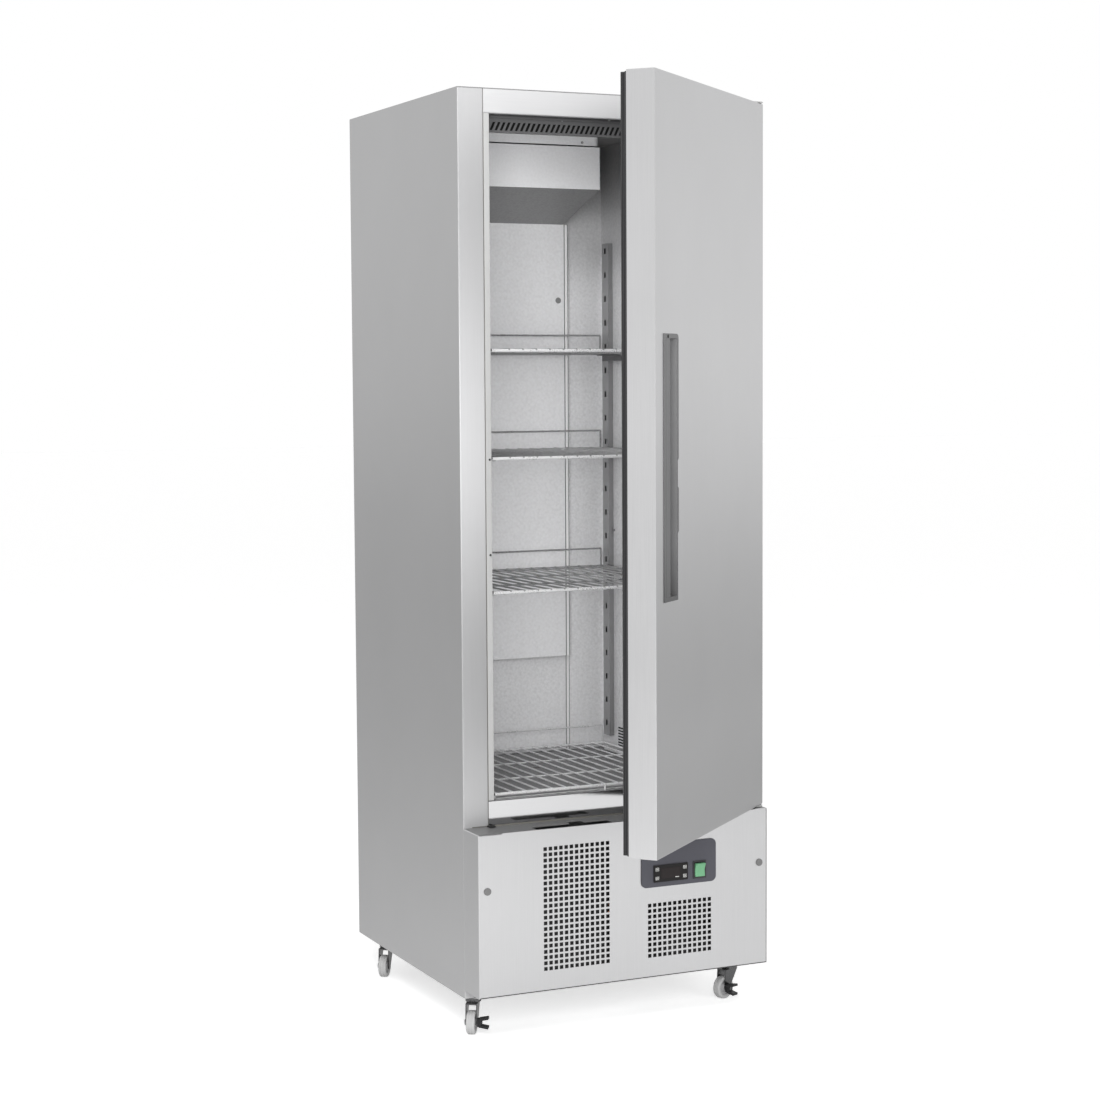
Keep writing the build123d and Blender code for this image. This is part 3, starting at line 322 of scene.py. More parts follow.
def close_up(piece, angle=30):
    """Leave the edit mode and smooth the shading over shallow edges."""
    bpy.ops.object.mode_set(mode="OBJECT")
    pick(piece)
    bpy.ops.object.shade_smooth_by_angle(angle=math.radians(angle))
    weights = piece.modifiers.new("Weights", "WEIGHTED_NORMAL")
    weights.keep_sharp = True
    bpy.ops.object.modifier_apply(modifier=weights.name)


def finish_with(piece, kind, **settings):
    """Add a modifier with its settings and apply it."""
    pick(piece)
    modifier = piece.modifiers.new(kind.title(), kind)
    for name, value in settings.items():
        setattr(modifier, name, value)
    bpy.ops.object.modifier_apply(modifier=modifier.name)


def thicken(piece, thickness):
    """Give a sheet its thickness, behind the faces drawn."""
    finish_with(piece, "SOLIDIFY", thickness=thickness, offset=-1)


def ends_of(piece, edge):
    """The two end points of an edge."""
    corners = piece.data.vertices
    return corners[edge.vertices[0]].co, corners[edge.vertices[1]].co


def cut(piece, place, normal):
    """Divide a whole mesh along a plane."""
    edit(piece, "VERT", everything, bpy.ops.mesh.bisect, plane_co=place, plane_no=normal)


def folded_sheet(name, start, legs, run, outward, thickness, fold=0.0025):
    """A press-folded sheet: an edge drawn from fold to fold, its folds rounded. The thickness argument is not
    used.
    """
    bpy.ops.mesh.primitive_plane_add(size=1)
    sheet = bpy.context.object
    sheet.name = name
    edit(sheet, "VERT", lambda corner: corner.index > 1, bpy.ops.mesh.delete, type="VERT")
    sheet.data.vertices[0].co = start
    sheet.data.vertices[1].co = Vector(start) + Vector(run)
    choose(sheet, "EDGE", everything)
    for leg in legs:
        bpy.ops.mesh.extrude_edges_move(TRANSFORM_OT_translate={"value": leg})
    bpy.ops.object.mode_set(mode="OBJECT")
    if sheet.data.polygons[0].normal.dot(Vector(outward)) < 0:
        flip(sheet)
    counts = edge_counts(sheet)
    edit(sheet, "EDGE", lambda edge: counts[edge.key] == 2,
         bpy.ops.mesh.bevel, offset=fold, segments=4, affect="EDGES")
    return sheet


def take_away(piece, test):
    """Delete the faces that pass a test."""
    edit(piece, "FACE", test, bpy.ops.mesh.delete, type="FACE")


side_x = 0.340
front_y = -0.321
back_y = 0.321
base_z = 0.080
roof_z = 1.960
sheet_wall = 0.001
rear_flange = 0.015
stile_inner_x = 0.283
stile_lip_y = -0.309
foot_z = 0.440
foot_stile_x = 0.320
# Each stainless piece takes its own copy of one brushed steel, set lighter or darker for the light on its
# faces: painted light and shade.
side_steel = brushed("side_steel_upright_brushing", (700, 700, 7), 0.37, 0.45, 0.24, 0.42)
# The stile takes a lighter, less metallic copy than the side, and the height ramp on it lightens and darkens it
# in bands: painted light and painted reflection.
stile_steel = brushed("stile_steel", (700, 700, 7), 0.75, 0.87, 0.38, 0.52, metallic=0.45)
painted_light_by_height(stile_steel, [(0.44, 0.57), (0.75, 0.49), (1.25, 0.81), (1.75, 0.57), (1.96, 0.65)])
# A narrow band along the top of the stiles and the header keeps the darker side steel: a painted shade line.
top_shade_line = 0.0022


def is_front_of_panel(face):
    """Whether a face of a side panel belongs to the stile or its fold, under the painted shade line along the
    top.
    """
    at_front = face.center.y < front_y + 0.002 or abs(face.center.x) < side_x - 0.004
    return at_front and face.center.z < roof_z - top_shade_line


for side, name in ((-1, "left_side_panel"), (1, "right_side_panel")):
    panel = folded_sheet(
        name + "_sheet",
        (side * (side_x - rear_flange), back_y, base_z),
        [(side * rear_flange, 0, 0), (0, front_y - back_y, 0), (side * (stile_inner_x - side_x), 0, 0),
         (0, stile_lip_y - front_y, 0)],
        (0, 0, roof_z - base_z), (0, 1, 0), sheet_wall)
    cut(panel, (0, 0, foot_z), (0, 0, 1))
    cut(panel, (0, 0, roof_z - top_shade_line), (0, 0, 1))
    cut(panel, (side * foot_stile_x, 0, 0), (1, 0, 0))
    take_away(panel, lambda face: face.center.z < foot_z and face.center.y < 0
              and abs(face.center.x) < foot_stile_x)
    thicken(panel, sheet_wall)
    close_up(panel)
    dress(panel, side_steel)
    dress_faces(panel, stile_steel, is_front_of_panel)
    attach(panel, "cabinet")
    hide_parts(name)

# Header panel
# The stainless strip over the door opening, folded from the top of the front under the opening's
# edge. It is spot welded between the two stiles.

opening_x = 0.2826
header_low_z = 1.909
# The header takes a lighter copy of the side steel: painted light.
header_steel = brushed("header_steel", (7, 700, 700), 0.60, 0.69, 0.38, 0.52, metallic=0.45)
header = folded_sheet(
    "header_sheet", (-opening_x, stile_lip_y, header_low_z),
    [(0, front_y - stile_lip_y, 0), (0, 0, roof_z - header_low_z)],
    (2 * opening_x, 0, 0), (0, 0, -1), sheet_wall)
cut(header, (0, 0, roof_z - top_shade_line), (0, 0, 1))
thicken(header, sheet_wall)
close_up(header)
dress(header, header_steel)
# The band along the top of the header takes the darker side steel: a painted shade line.
dress_faces(header, side_steel, lambda face: face.center.z > roof_z - top_shade_line)
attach(header, "cabinet")
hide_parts("header_panel")

# Front apron
# The polished sill under the door opening, where the seal of the shut door rests. It is one folded
# strip, turned in at the top towards the cavity and at the foot behind the ledge.

apron_low_z = 0.440
apron_high_z = 0.492
apron_back_y = -0.301
apron_hem_z = 0.481
notch_x = 0.269
polished = brushed("polished_sill", (9, 500, 500), 0.52, 0.60, 0.05, 0.11, 0.00001)
apron = folded_sheet(
    "apron_sheet", (-opening_x, stile_lip_y, apron_low_z),
    [(0, front_y - stile_lip_y, 0), (0, 0, apron_high_z - apron_low_z), (0, apron_back_y - front_y, 0),
     (0, 0, apron_hem_z - apron_high_z)],
    (2 * opening_x, 0, 0), (0, 0, -1), sheet_wall, 0.002)
for side in (-1, 1):
    cut(apron, (side * notch_x, 0, 0), (1, 0, 0))
cut(apron, (0, stile_lip_y, 0), (0, 1, 0))
take_away(apron, lambda face: abs(face.center.x) > notch_x and face.center.y > stile_lip_y
          and face.center.z > apron_low_z + 0.01)
thicken(apron, sheet_wall)
close_up(apron)
dress(apron, polished)
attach(apron, "cabinet")
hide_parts("front_apron")

# Breaker strips
# White plastic strips that close the gap between the outer steel and the liner round the opening,
# so that no cold runs out through the sheet. They are pressed on, with small dark holes at the side.


def copy_of(node, name):
    """A new piece with the form of a frame node, its loose triangles joined into whole faces."""
    piece = bpy.data.objects.new(name, nodes[node].data.copy())
    bpy.context.collection.objects.link(piece)
    choose(piece, "VERT", everything)
    bpy.ops.mesh.remove_doubles(threshold=0.00001)
    bpy.ops.mesh.dissolve_limited(angle_limit=math.radians(1))
    bpy.ops.object.mode_set(mode="OBJECT")
    piece.data.materials.clear()
    return piece


def ease(piece, width, segments=2):
    """Round the sharp edges of a piece."""
    finish_with(piece, "BEVEL", width=width, segments=segments, limit_method="ANGLE",
                angle_limit=math.radians(40))


def eased_copy(node, body, material, width, segments=2):
    """A piece in the form of a frame node with its sharp edges eased, which takes the node's place."""
    piece = copy_of(node, node + "_eased")
    ease(piece, width, segments)
    close_up(piece, 40)
    dress(piece, material)
    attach(piece, body)
    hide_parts(node)
    return piece


strip_white = mottled("white_strip_plastic", (0.40, 0.40, 0.398), 600, 0.06, 0.38, 0.1, 0.00008)
eased_copy("breaker_strips", "cabinet", strip_white, 0.0008)
hole_dark = mottled("hole_shadow", (0.012, 0.012, 0.012), 900, 0.2, 0.7, 0.05, 0.0001)
rivet_x = -0.2738
rivet_y = -0.3205
rivet_radius = 0.0024
rivet_levels = (1.2019, 1.0046)


def sunk_head(name, place, radius, depth, rim, sink):
    """A dark round head that faces the front, its middle sunk within a rim."""
    bpy.ops.mesh.primitive_cylinder_add(
        vertices=24, radius=radius, depth=depth, location=place, rotation=(math.radians(90), 0, 0))
    head = bpy.context.object
    head.name = name
    bpy.ops.object.transform_apply()
    edit(head, "FACE", lambda face: face.normal.y < -0.9, bpy.ops.mesh.inset, thickness=rim, depth=-sink)
    close_up(head)
    dress(head, hole_dark)
    return head


for number, level in enumerate(rivet_levels, 1):
    rivet = sunk_head("strip_rivet_" + str(number), (rivet_x, rivet_y, level), rivet_radius, 0.0008,
                      rivet_radius * 0.4, 0.0003)
    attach(rivet, "cabinet")

# Inner liner
# Embossed aluminium sheets with a pebbled grain: two sides, back, ceiling and a floor with a drain.
# They are foamed in behind the breaker strips.


def build_pebbles():
    """Pebble-embossed sheet: rounded cells with a finer grain and a faint change of tone."""
    group, given, result = new_group(
        "pebbled_sheet",
        [("Cells", "Float", 210.0), ("Dark", "Color", (0.5, 0.5, 0.5, 1)),
         ("Light", "Color", (0.6, 0.6, 0.6, 1)), ("Smooth", "Float", 0.35), ("Rough", "Float", 0.5)])
    coords = make_node(group, "TexCoord").outputs["Object"]
    bend = make_node(group, "TexNoise", {"Vector": coords, "Scale": 130, "Detail": 2}).outputs["Fac"]
    cells = make_node(group, "TexVoronoi", feature="SMOOTH_F1")
    connect(group, cells, {"Vector": coords, "Scale": given["Cells"]})
    height = make_node(group, "Math", {0: cells.outputs["Distance"], 1: -0.8, 2: bend},
                       operation="MULTIPLY_ADD").outputs[0]
    spots = make_node(group, "MapRange", {"Value": height, "From Min": -0.15, "From Max": 0.45})
    tone = two_tones(group, given, spots.outputs["Result"])
    rough = make_node(group, "MapRange", {
        "Value": bend, "To Min": given["Smooth"], "To Max": given["Rough"]})
    connect(group, result, {
        "Color": tone.outputs["Result"], "Roughness": rough.outputs["Result"], "Height": height})
    return group


pebbles = build_pebbles()


def pebbled(name, dark, light, cells, relief, metallic=0.35):
    """Pebble-embossed aluminium."""
    inputs = {"Cells": cells, "Dark": cool_grey(dark), "Light": cool_grey(light)}
    return group_material(name, pebbles, inputs, 0.6, relief, metallic)


floor_top_z = 0.4822
liner_sheet = pebbled("pebbled_aluminium", 0.85, 0.98, 190, 0.0009, 0.15)
# Above 1.55 m and right of x 0.16 the liner grows darker towards the ceiling: painted shade beside the
# evaporator box.
painted_light_by_height(liner_sheet, [(0.48, 1.0), (1.55, 1.0), (1.70, 0.72), (1.90, 0.36)], from_x=0.160)
tree, shader, wall_colour = colour_of(liner_sheet)
floor_colour = (0.20, 0.20, 0.202, 1)
connect(tree, shader, {"Base Color": colour_beyond(tree, "Z", floor_top_z, floor_colour, wall_colour)})
dress(nodes["liner_panels"], liner_sheet)

# Duct panel and its plugs, evaporator cover, air grille
# The duct panel is the same pebbled sheet on the back wall. The white coated box under the ceiling
# hides the evaporator; its lid is a separate sheet. The slotted strip over it lets the air out.

# The duct panel takes a lighter copy of the liner sheet: painted light.
duct_sheet = pebbled("pebbled_duct_sheet", 0.91, 1.0, 170, 0.0010, 0.12)
eased_copy("duct_panel", "cabinet", duct_sheet, 0.0012, 3)
coated = pebbled("coated_cover_sheet", 0.92, 0.97, 260, 0.0003, 0.1)
# The belly and the right cheek of the box take a dark copy of the coated sheet: painted shade under the box and
# in the recess beside it.
belly_shade_sheet = pebbled("evaporator_belly_painted_shade", 0.25, 0.32, 260, 0.0002, 0.3)
evaporator_box = eased_copy("evaporator_cover", "cabinet", coated, 0.0006)
evaporator_middle_z = 1.80
dress_faces(evaporator_box, belly_shade_sheet, lambda face: face.normal.x > 0.9
            or (face.normal.z < -0.5 and face.center.z < evaporator_middle_z))
grille_plastic = mottled("grille_strip_plastic", (0.085, 0.085, 0.087), 700, 0.10, 0.42, 0.1, 0.00008)
eased_copy("air_grille", "cabinet", grille_plastic, 0.0003)


def block(name, centre, size):
    """A box with sharp edges."""
    bpy.ops.mesh.primitive_cube_add(size=1, location=centre)
    piece = bpy.context.object
    piece.name = name
    piece.scale = size
    bpy.ops.object.transform_apply()
    return piece


# A black sheet behind the slotted strip, so that its slots read dark: painted shade.
grille_shade_half = 0.266
grille_shade_y = -0.2905
grille_shade_wall = 0.0012
grille_shade_low_z = 1.877
grille_shade_high_z = 1.914
grille_shade_black = mottled("painted_grille_shade", (0.005, 0.005, 0.005), 1200, 0.6, 0.95, 0.03, 0.0003)
grille_shade = block("grille_shade_sheet", (0, grille_shade_y, (grille_shade_low_z + grille_shade_high_z) / 2),
              (2 * grille_shade_half, grille_shade_wall, grille_shade_high_z - grille_shade_low_z))
ease(grille_shade, 0.0004)
close_up(grille_shade)
dress(grille_shade, grille_shade_black)
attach(grille_shade, "cabinet")

# Corner strips
# Near-white strips with grey rubber lips, which stand for the bright edge line of the duct panel: painted
# highlight. One closes the right edge of the duct panel under the evaporator box, and a flat one goes on down
# the back wall to the floor of the liner.

# Near-white and not metallic: a painted highlight.
painted_highlight_strip = mottled("painted_highlight_strip", (0.97, 0.97, 0.97), 500, 0.03, 0.30, 0.08, 0.00005)
strip_rubber = mottled("strip_rubber", (0.16, 0.16, 0.16), 900, 0.15, 0.5, 0.1, 0.0001)
strip_width = 0.0100
strip_lip = 0.0018
strip_back_y = 0.2608


def lipped_strip(name, left_x, front_y, low_z, high_z):
    """An upright strip against the back wall, with a soft lip along both edges of its face."""
    strip = block(name, (left_x + strip_width / 2, (front_y + strip_back_y) / 2, (low_z + high_z) / 2),
                  (strip_width, strip_back_y - front_y, high_z - low_z))
    ease(strip, 0.0008)
    cut(strip, (left_x + strip_lip, 0, 0), (1, 0, 0))
    cut(strip, (left_x + strip_width - strip_lip, 0, 0), (1, 0, 0))
    close_up(strip)
    dress(strip, painted_highlight_strip)
    dress_faces(strip, strip_rubber, lambda face: face.center.y < front_y + 0.0009
                and abs(face.center.x - left_x - strip_width / 2) > strip_width / 2 - strip_lip)
    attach(strip, "cabinet")


lipped_strip("duct_corner_strip", 0.1572, 0.2316, 0.7122, 1.7280)
lipped_strip("wall_corner_strip", 0.1690, 0.2588, 0.4830, 0.7120)

# Pilasters and shelf rails
# Slotted channels of polished steel screwed to the side walls, and angle rails hooked into their
# slots, which carry the shelves. Eight short slots in the right wall by the rear one let air back.

pilaster_steel = brushed("pilaster_steel", (600, 600, 8), 0.36, 0.46, 0.22, 0.38)
# The rails take a much darker copy of the pilaster steel: painted shade.
rail_steel = brushed("rail_steel", (600, 8, 600), 0.14, 0.22, 0.25, 0.42)
dress(nodes["pilasters"], pilaster_steel)
# Black strips inside the pilaster channels, just behind their slots, so that the slots read dark: painted
# shade.
channel_shade_dark = mottled("painted_channel_shade", (0.010, 0.010, 0.010), 900, 0.3, 0.8, 0.05, 0.0002)
channel_shade_x = 0.2667
channel_shade_middle_z = 1.1010
channel_shade_size = (0.0024, 0.0240, 1.1500)
pilaster_front_y = -0.262
pilaster_rear_y = 0.217
channel_places = [(side * channel_shade_x, y) for side in (-1, 1) for y in (pilaster_front_y, pilaster_rear_y)]
for number, (x, y) in enumerate(channel_places, 1):
    channel_shade = block("channel_shade_sheet_" + str(number), (x, y, channel_shade_middle_z), channel_shade_size)
    ease(channel_shade, 0.0006)
    close_up(channel_shade)
    dress(channel_shade, channel_shade_dark)
    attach(channel_shade, "cabinet")
eased_copy("shelf_rails", "cabinet", rail_steel, 0.0005)
wall_x = 0.269
return_slot_y = 0.1600
return_slot_low_z = 0.4900
return_slot_pitch = 0.0070
return_slot_count = 8
return_slot_length = 0.0380
return_slot_width = 0.0034
slot_depth = 0.0006


def length_along(piece, edge, axis):
    """How far an edge of a piece reaches along an axis."""
    first, last = ends_of(piece, edge)
    return abs(first[axis] - last[axis])


def placed_copy(pattern, name, matrix):
    """A copy of a piece with its own mesh, moved to its place."""
    piece = bpy.data.objects.new(name, pattern.data.copy())
    bpy.context.collection.objects.link(piece)
    piece.data.transform(matrix)
    return piece


first_slot = block("return_air_slot_1", (wall_x - slot_depth / 2, return_slot_y, return_slot_low_z),
                   (slot_depth, return_slot_length, return_slot_width))
edit(first_slot, "EDGE", lambda edge: length_along(first_slot, edge, 0) > slot_depth / 2,
     bpy.ops.mesh.bevel, offset=0.0012, segments=3, affect="EDGES")
edit(first_slot, "FACE", lambda face: face.normal.x < -0.9,
     bpy.ops.mesh.inset, thickness=0.0004, depth=-0.0003)
close_up(first_slot)
dress(first_slot, hole_dark)
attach(first_slot, "cabinet")
for number in range(1, return_slot_count):
    lift = Matrix.Translation((0, 0, number * return_slot_pitch))
    slot = placed_copy(first_slot, "return_air_slot_" + str(number + 1), lift)
    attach(slot, "cabinet")

# Small screws inside
# Zinc plated dome-headed screws: in the lid of the evaporator box, under its belly, in the right
# wall beside the rear pilaster, and two that hold the slotted strip.

screw_zinc = mottled("screw_zinc", (0.40, 0.40, 0.40), 500, 0.2, 0.32, 0.2, 0.0001, 0.8)


def dome_screw(name, place, normal, radius, body="cabinet"):
    """The round head of a screw, standing on a surface."""
    bpy.ops.mesh.primitive_uv_sphere_add(segments=20, ring_count=10, radius=radius)
    head = bpy.context.object
    head.name = name
    cut(head, (0, 0, 0), (0, 0, 1))
    take_away(head, lambda face: face.center.z < 0)
    edit(head, "EDGE", lambda edge: max(abs(end.z) for end in ends_of(head, edge)) < 0.00001,
         bpy.ops.mesh.edge_face_add)
    for corner in head.data.vertices:
        corner.co.z *= 0.6
    close_up(head)
    turn = Vector(normal).to_track_quat("Z", "Y").to_matrix().to_4x4()
    head.data.transform(Matrix.Translation(place) @ turn)
    dress(head, screw_zinc)
    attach(head, body)
    return head


dome_screw("lid_screw", (0.1129, 0.0378, 1.8985), (0, -1, 0), 0.0032)
dome_screw("belly_screw", (0.060, 0.2200, 1.7360), (0, -0.4, -1), 0.0036)
dome_screw("wall_screw", (0.2690, 0.1960, 1.0089), (-1, 0, 0), 0.0032)
for number, (x, z) in enumerate(((-0.0928, 1.9046), (0.0164, 1.9093)), 1):
    dome_screw("strip_screw_" + str(number), (x, -0.2950, z), (0, -1, 0), 0.0028)

# Wire shelves
# Welded and zinc plated: a frame of 8 mm rod, fifteen 4 mm wires from front to back with their ends
# on the front rod, two rods under them and an upright rim at the back. Caps close the front rod.


def rod(name, start, end, radius, sides=12):
    """A straight round rod from one point to another with its ends rounded over."""
    start, end = Vector(start), Vector(end)
    length = (end - start).length
    bpy.ops.mesh.primitive_cylinder_add(vertices=sides, radius=radius, depth=length)
    piece = bpy.context.object
    piece.name = name
    edit(piece, "FACE", lambda face: abs(face.normal.z) > 0.9,
         bpy.ops.mesh.bevel, offset=radius * 0.35, segments=2, affect="EDGES")
    close_up(piece, 50)
    turn = (end - start).to_track_quat("Z", "Y").to_matrix().to_4x4()
    piece.data.transform(Matrix.Translation((start + end) / 2) @ turn)
    return piece


def joined(name, pieces):
    """Join several pieces into one."""
    bpy.ops.object.select_all(action="DESELECT")
    for piece in pieces:
        piece.select_set(True)
    bpy.context.view_layer.objects.active = pieces[0]
    bpy.ops.object.join()
    pieces[0].name = name
    return pieces[0]


shelf_front_y = -0.297
shelf_back_y = 0.223
shelf_half = 0.255
front_rod_half = 0.265
frame_rod = 0.0036
frame_drop = 0.0046
deck_wire = 0.002
deck_wires = 15
deck_pitch = 0.031
rim_height = 0.040
cross_rods = (-0.1237, 0.0497)
cross_rod_drop = 0.006
side_rod_x = shelf_half - 0.004
rim_half = shelf_half - 0.010
low_rod_drop = 0.014
liner_floor_z = 0.4815
foot_inset = 0.006
foot_post_places = (-0.280, -0.12, 0.05, 0.205)
front_rod_y = shelf_front_y + 0.004
back_rod_y = shelf_back_y - 0.004
# The front rod takes a much lighter copy of the zinc than the wires: a painted highlight along the front edge
# of each shelf.
shelf_zinc = mottled("zinc_plated_rod", (0.88, 0.88, 0.885), 500, 0.12, 0.30, 0.2, 0.0001, 0.45)
wire_zinc = mottled("zinc_plated_wire", (0.46, 0.46, 0.463), 500, 0.18, 0.30, 0.2, 0.0001, 0.75)
cap_dark = mottled("rod_end_cap", (0.035, 0.035, 0.036), 900, 0.2, 0.5, 0.1, 0.0001)


def rod_across(name, half, y, z, radius, sides=12):
    """A rod from left to right, reaching equally far to both sides."""
    return rod(name, (-half, y, z), (half, y, z), radius, sides)


def rod_deep(name, x, front_y, back_y, z, radius, sides=16):
    """A rod from front to back."""
    return rod(name, (x, front_y, z), (x, back_y, z), radius, sides)


def post(name, x, y, low_z, high_z):
    """A thin upright rod."""
    return rod(name, (x, y, low_z), (x, y, high_z), deck_wire)


def wire_deck(name):
    """The deck and its frame, with the top of the wires at height zero."""
    rim_y = shelf_back_y - deck_wire
    rim_z = rim_height - deck_wire
    rods = [rod_across("front_rod", front_rod_half, front_rod_y, -frame_drop, frame_rod, 16),
            rod_across("back_rod", shelf_half, back_rod_y, -frame_drop, frame_rod, 16)]
    for side in (-1, 1):
        rods.append(rod_deep("side_rod", side * side_rod_x, front_rod_y, back_rod_y, -frame_drop, frame_rod))
        rods.append(post("rim_post", side * rim_half, rim_y, -frame_drop, rim_z))
    rods.append(rod_across("rim_rod", rim_half, rim_y, rim_z, deck_wire))
    for y in cross_rods:
        rods.append(rod_across("cross_rod", rim_half, y, -cross_rod_drop, deck_wire))
    for number in range(deck_wires):
        x = (number - (deck_wires - 1) / 2) * deck_pitch
        rods.append(rod_deep("deck_wire", x, shelf_front_y + 0.0002, shelf_back_y - 0.002, -deck_wire,
                             deck_wire, 10))
    dress(rods[0], shelf_zinc)
    for thin in rods[1:]:
        dress(thin, wire_zinc)
    return joined(name, rods)


def bottom_frame(level):
    """The low front rod of the bottom shelf with its posts, and the two foot rods that it stands on."""
    low_rod_y = shelf_front_y + deck_wire
    low_rod_z = level - low_rod_drop
    foot_z = liner_floor_z + frame_rod
    top_z = level - frame_drop
    post_half = front_rod_half - deck_wire
    rods = [rod_across("low_front_rod", front_rod_half, low_rod_y, low_rod_z, deck_wire)]
    for x in (-post_half, 0.0, post_half):
        rods.append(post("front_post", x, low_rod_y, low_rod_z, top_z))
    for side in (-1, 1):
        x = side * side_rod_x
        rods.append(rod_deep("foot_rod", x, front_rod_y + foot_inset, back_rod_y - foot_inset, foot_z,
                             frame_rod))
        for y in foot_post_places:
            rods.append(post("foot_post", x, y, foot_z, top_z))
    return rods


def rod_caps(name):
    """The two dark caps on the ends of the front rod."""
    caps = []
    for side in (-1, 1):
        caps.append(rod("cap", (side * (front_rod_half - 0.0085), front_rod_y, -0.004),
                        (side * front_rod_half, front_rod_y, -0.004), 0.004, 16))
    return joined(name, caps)


shelf_levels = {"wire_shelf_1": 1.431, "wire_shelf_2": 1.207, "wire_shelf_3": 0.927, "bottom_shelf": 0.503}
pattern_deck = wire_deck("pattern_deck")
pattern_caps = rod_caps("pattern_caps")
dress(pattern_caps, cap_dark)
for body, level in shelf_levels.items():
    lift = Matrix.Translation((0, 0, level))
    deck = placed_copy(pattern_deck, body + "_wires", lift)
    if body == "bottom_shelf":
        # On the bottom shelf the other rods take the lighter zinc as well.
        deck.data.materials[1] = shelf_zinc
        deck = joined(body + "_wires", [deck] + bottom_frame(level))
    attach(deck, body)
    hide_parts(body)
    caps = placed_copy(pattern_caps, body + "_caps", lift)
    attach(caps, body)
bpy.data.objects.remove(pattern_deck)
bpy.data.objects.remove(pattern_caps)

# Ledge plate
# A dark grey plate that closes the top of the machine compartment in front of the apron.
# A stepped slot through it lets warm air up past the door edge.

ledge_grey = mottled("ledge_dark_grey", (0.23, 0.23, 0.232), 500, 0.15, 0.38, 0.15, 0.0001, 0.3)
eased_copy("ledge_plate", "cabinet", ledge_grey, 0.0005)

# Lower front cover
# One folded stainless sheet with two fields of square punched holes, returned along both sides and
# over the top corners. It hangs on the foot of the stiles and is held by two screws under plugs.

cover_front_y = -0.399
cover_wall = 0.0012
cover_low_z = 0.097
cover_high_z = 0.438
cover_fold = 0.0028
cover_corner_x = 0.288
cover_flange_y = -0.385
hole = 0.008
hole_pitch = 0.012
left_grille = (13, 22, -0.1176, 0.2703)
right_grille = (13, 10, 0.1252, 0.1983)
fascia_opening = (0.1015, 0.320, 0.073, 0.030)
switch_opening = (0.171, 0.320, 0.028, 0.035)
cover_steel = brushed("cover_steel", (700, 700, 7), 0.52, 0.62, 0.24, 0.38)
# The side returns take a darker copy of the cover steel: painted shade.
return_steel = brushed("cover_return_steel", (700, 700, 7), 0.36, 0.45, 0.24, 0.40)
bpy.ops.mesh.primitive_plane_add(
    size=1, location=(0, cover_front_y, (cover_low_z + cover_high_z) / 2),
    rotation=(math.radians(90), 0, 0))
cover = bpy.context.object
cover.name = "front_cover_sheet"
cover.scale = (2 * side_x, cover_high_z - cover_low_z, 1)
bpy.ops.object.transform_apply()


def punch_field(sheet, columns, rows, middle_x, middle_z):
    """Punch a field of square holes into a sheet that stands across Y."""
    left, _, low, _ = field_frame(columns, rows, middle_x, middle_z)
    right = left + columns * hole_pitch
    high = low + rows * hole_pitch
    for column in range(columns):
        for x in (left + column * hole_pitch, left + column * hole_pitch + hole):
            cut_within(sheet, (x, 0, 0), (1, 0, 0), left, right, low, high)
    for row in range(rows):
        for z in (low + row * hole_pitch, low + row * hole_pitch + hole):
            cut_within(sheet, (0, 0, z), (0, 0, 1), left, right, low, high)

    def punched(face):
        along = (face.center.x - left) / hole_pitch
        up = (face.center.z - low) / hole_pitch
        inside = 0 < along < columns and 0 < up < rows
        return inside and along % 1 < hole / hole_pitch and up % 1 < hole / hole_pitch

    take_away(sheet, punched)


def cut_within(sheet, place, normal, left, right, low, high):
    """Divide only the faces that lie in one field of the sheet."""
    reach = hole_pitch
    choose(sheet, "FACE", lambda face: left - reach < face.center.x < right + reach
           and low - reach < face.center.z < high + reach)
    bpy.ops.mesh.bisect(plane_co=place, plane_no=normal)
    bpy.ops.object.mode_set(mode="OBJECT")


def frame_off(sheet, left, right, low, high):
    """Divide a sheet right across, along the four sides of a rectangle."""
    for x in (left, right):
        cut(sheet, (x, 0, 0), (1, 0, 0))
    for z in (low, high):
        cut(sheet, (0, 0, z), (0, 0, 1))


def field_frame(columns, rows, middle_x, middle_z):
    """Left, right, low and high edge of a field of holes."""
    half_wide = (columns * hole_pitch - (hole_pitch - hole)) / 2
    half_tall = (rows * hole_pitch - (hole_pitch - hole)) / 2
    return middle_x - half_wide, middle_x + half_wide, middle_z - half_tall, middle_z + half_tall


for field in (left_grille, right_grille):
    frame_off(cover, *field_frame(*field))
for x, z, wide, tall in (fascia_opening, switch_opening):
    frame_off(cover, x - wide / 2, x + wide / 2, z - tall / 2, z + tall / 2)
for x, z, wide, tall in (fascia_opening, switch_opening):
    take_away(cover, lambda face: abs(face.center.x - x) < wide / 2 and abs(face.center.z - z) < tall / 2)
for field in (left_grille, right_grille):
    punch_field(cover, *field)
for x in (-cover_corner_x, cover_corner_x):
    cut(cover, (x, 0, 0), (1, 0, 0))


def on_line(edge, axis, value):
    """Whether both ends of an edge of the cover lie at one value of an axis."""
    return all(abs(end[axis] - value) < 0.0001 for end in ends_of(cover, edge))


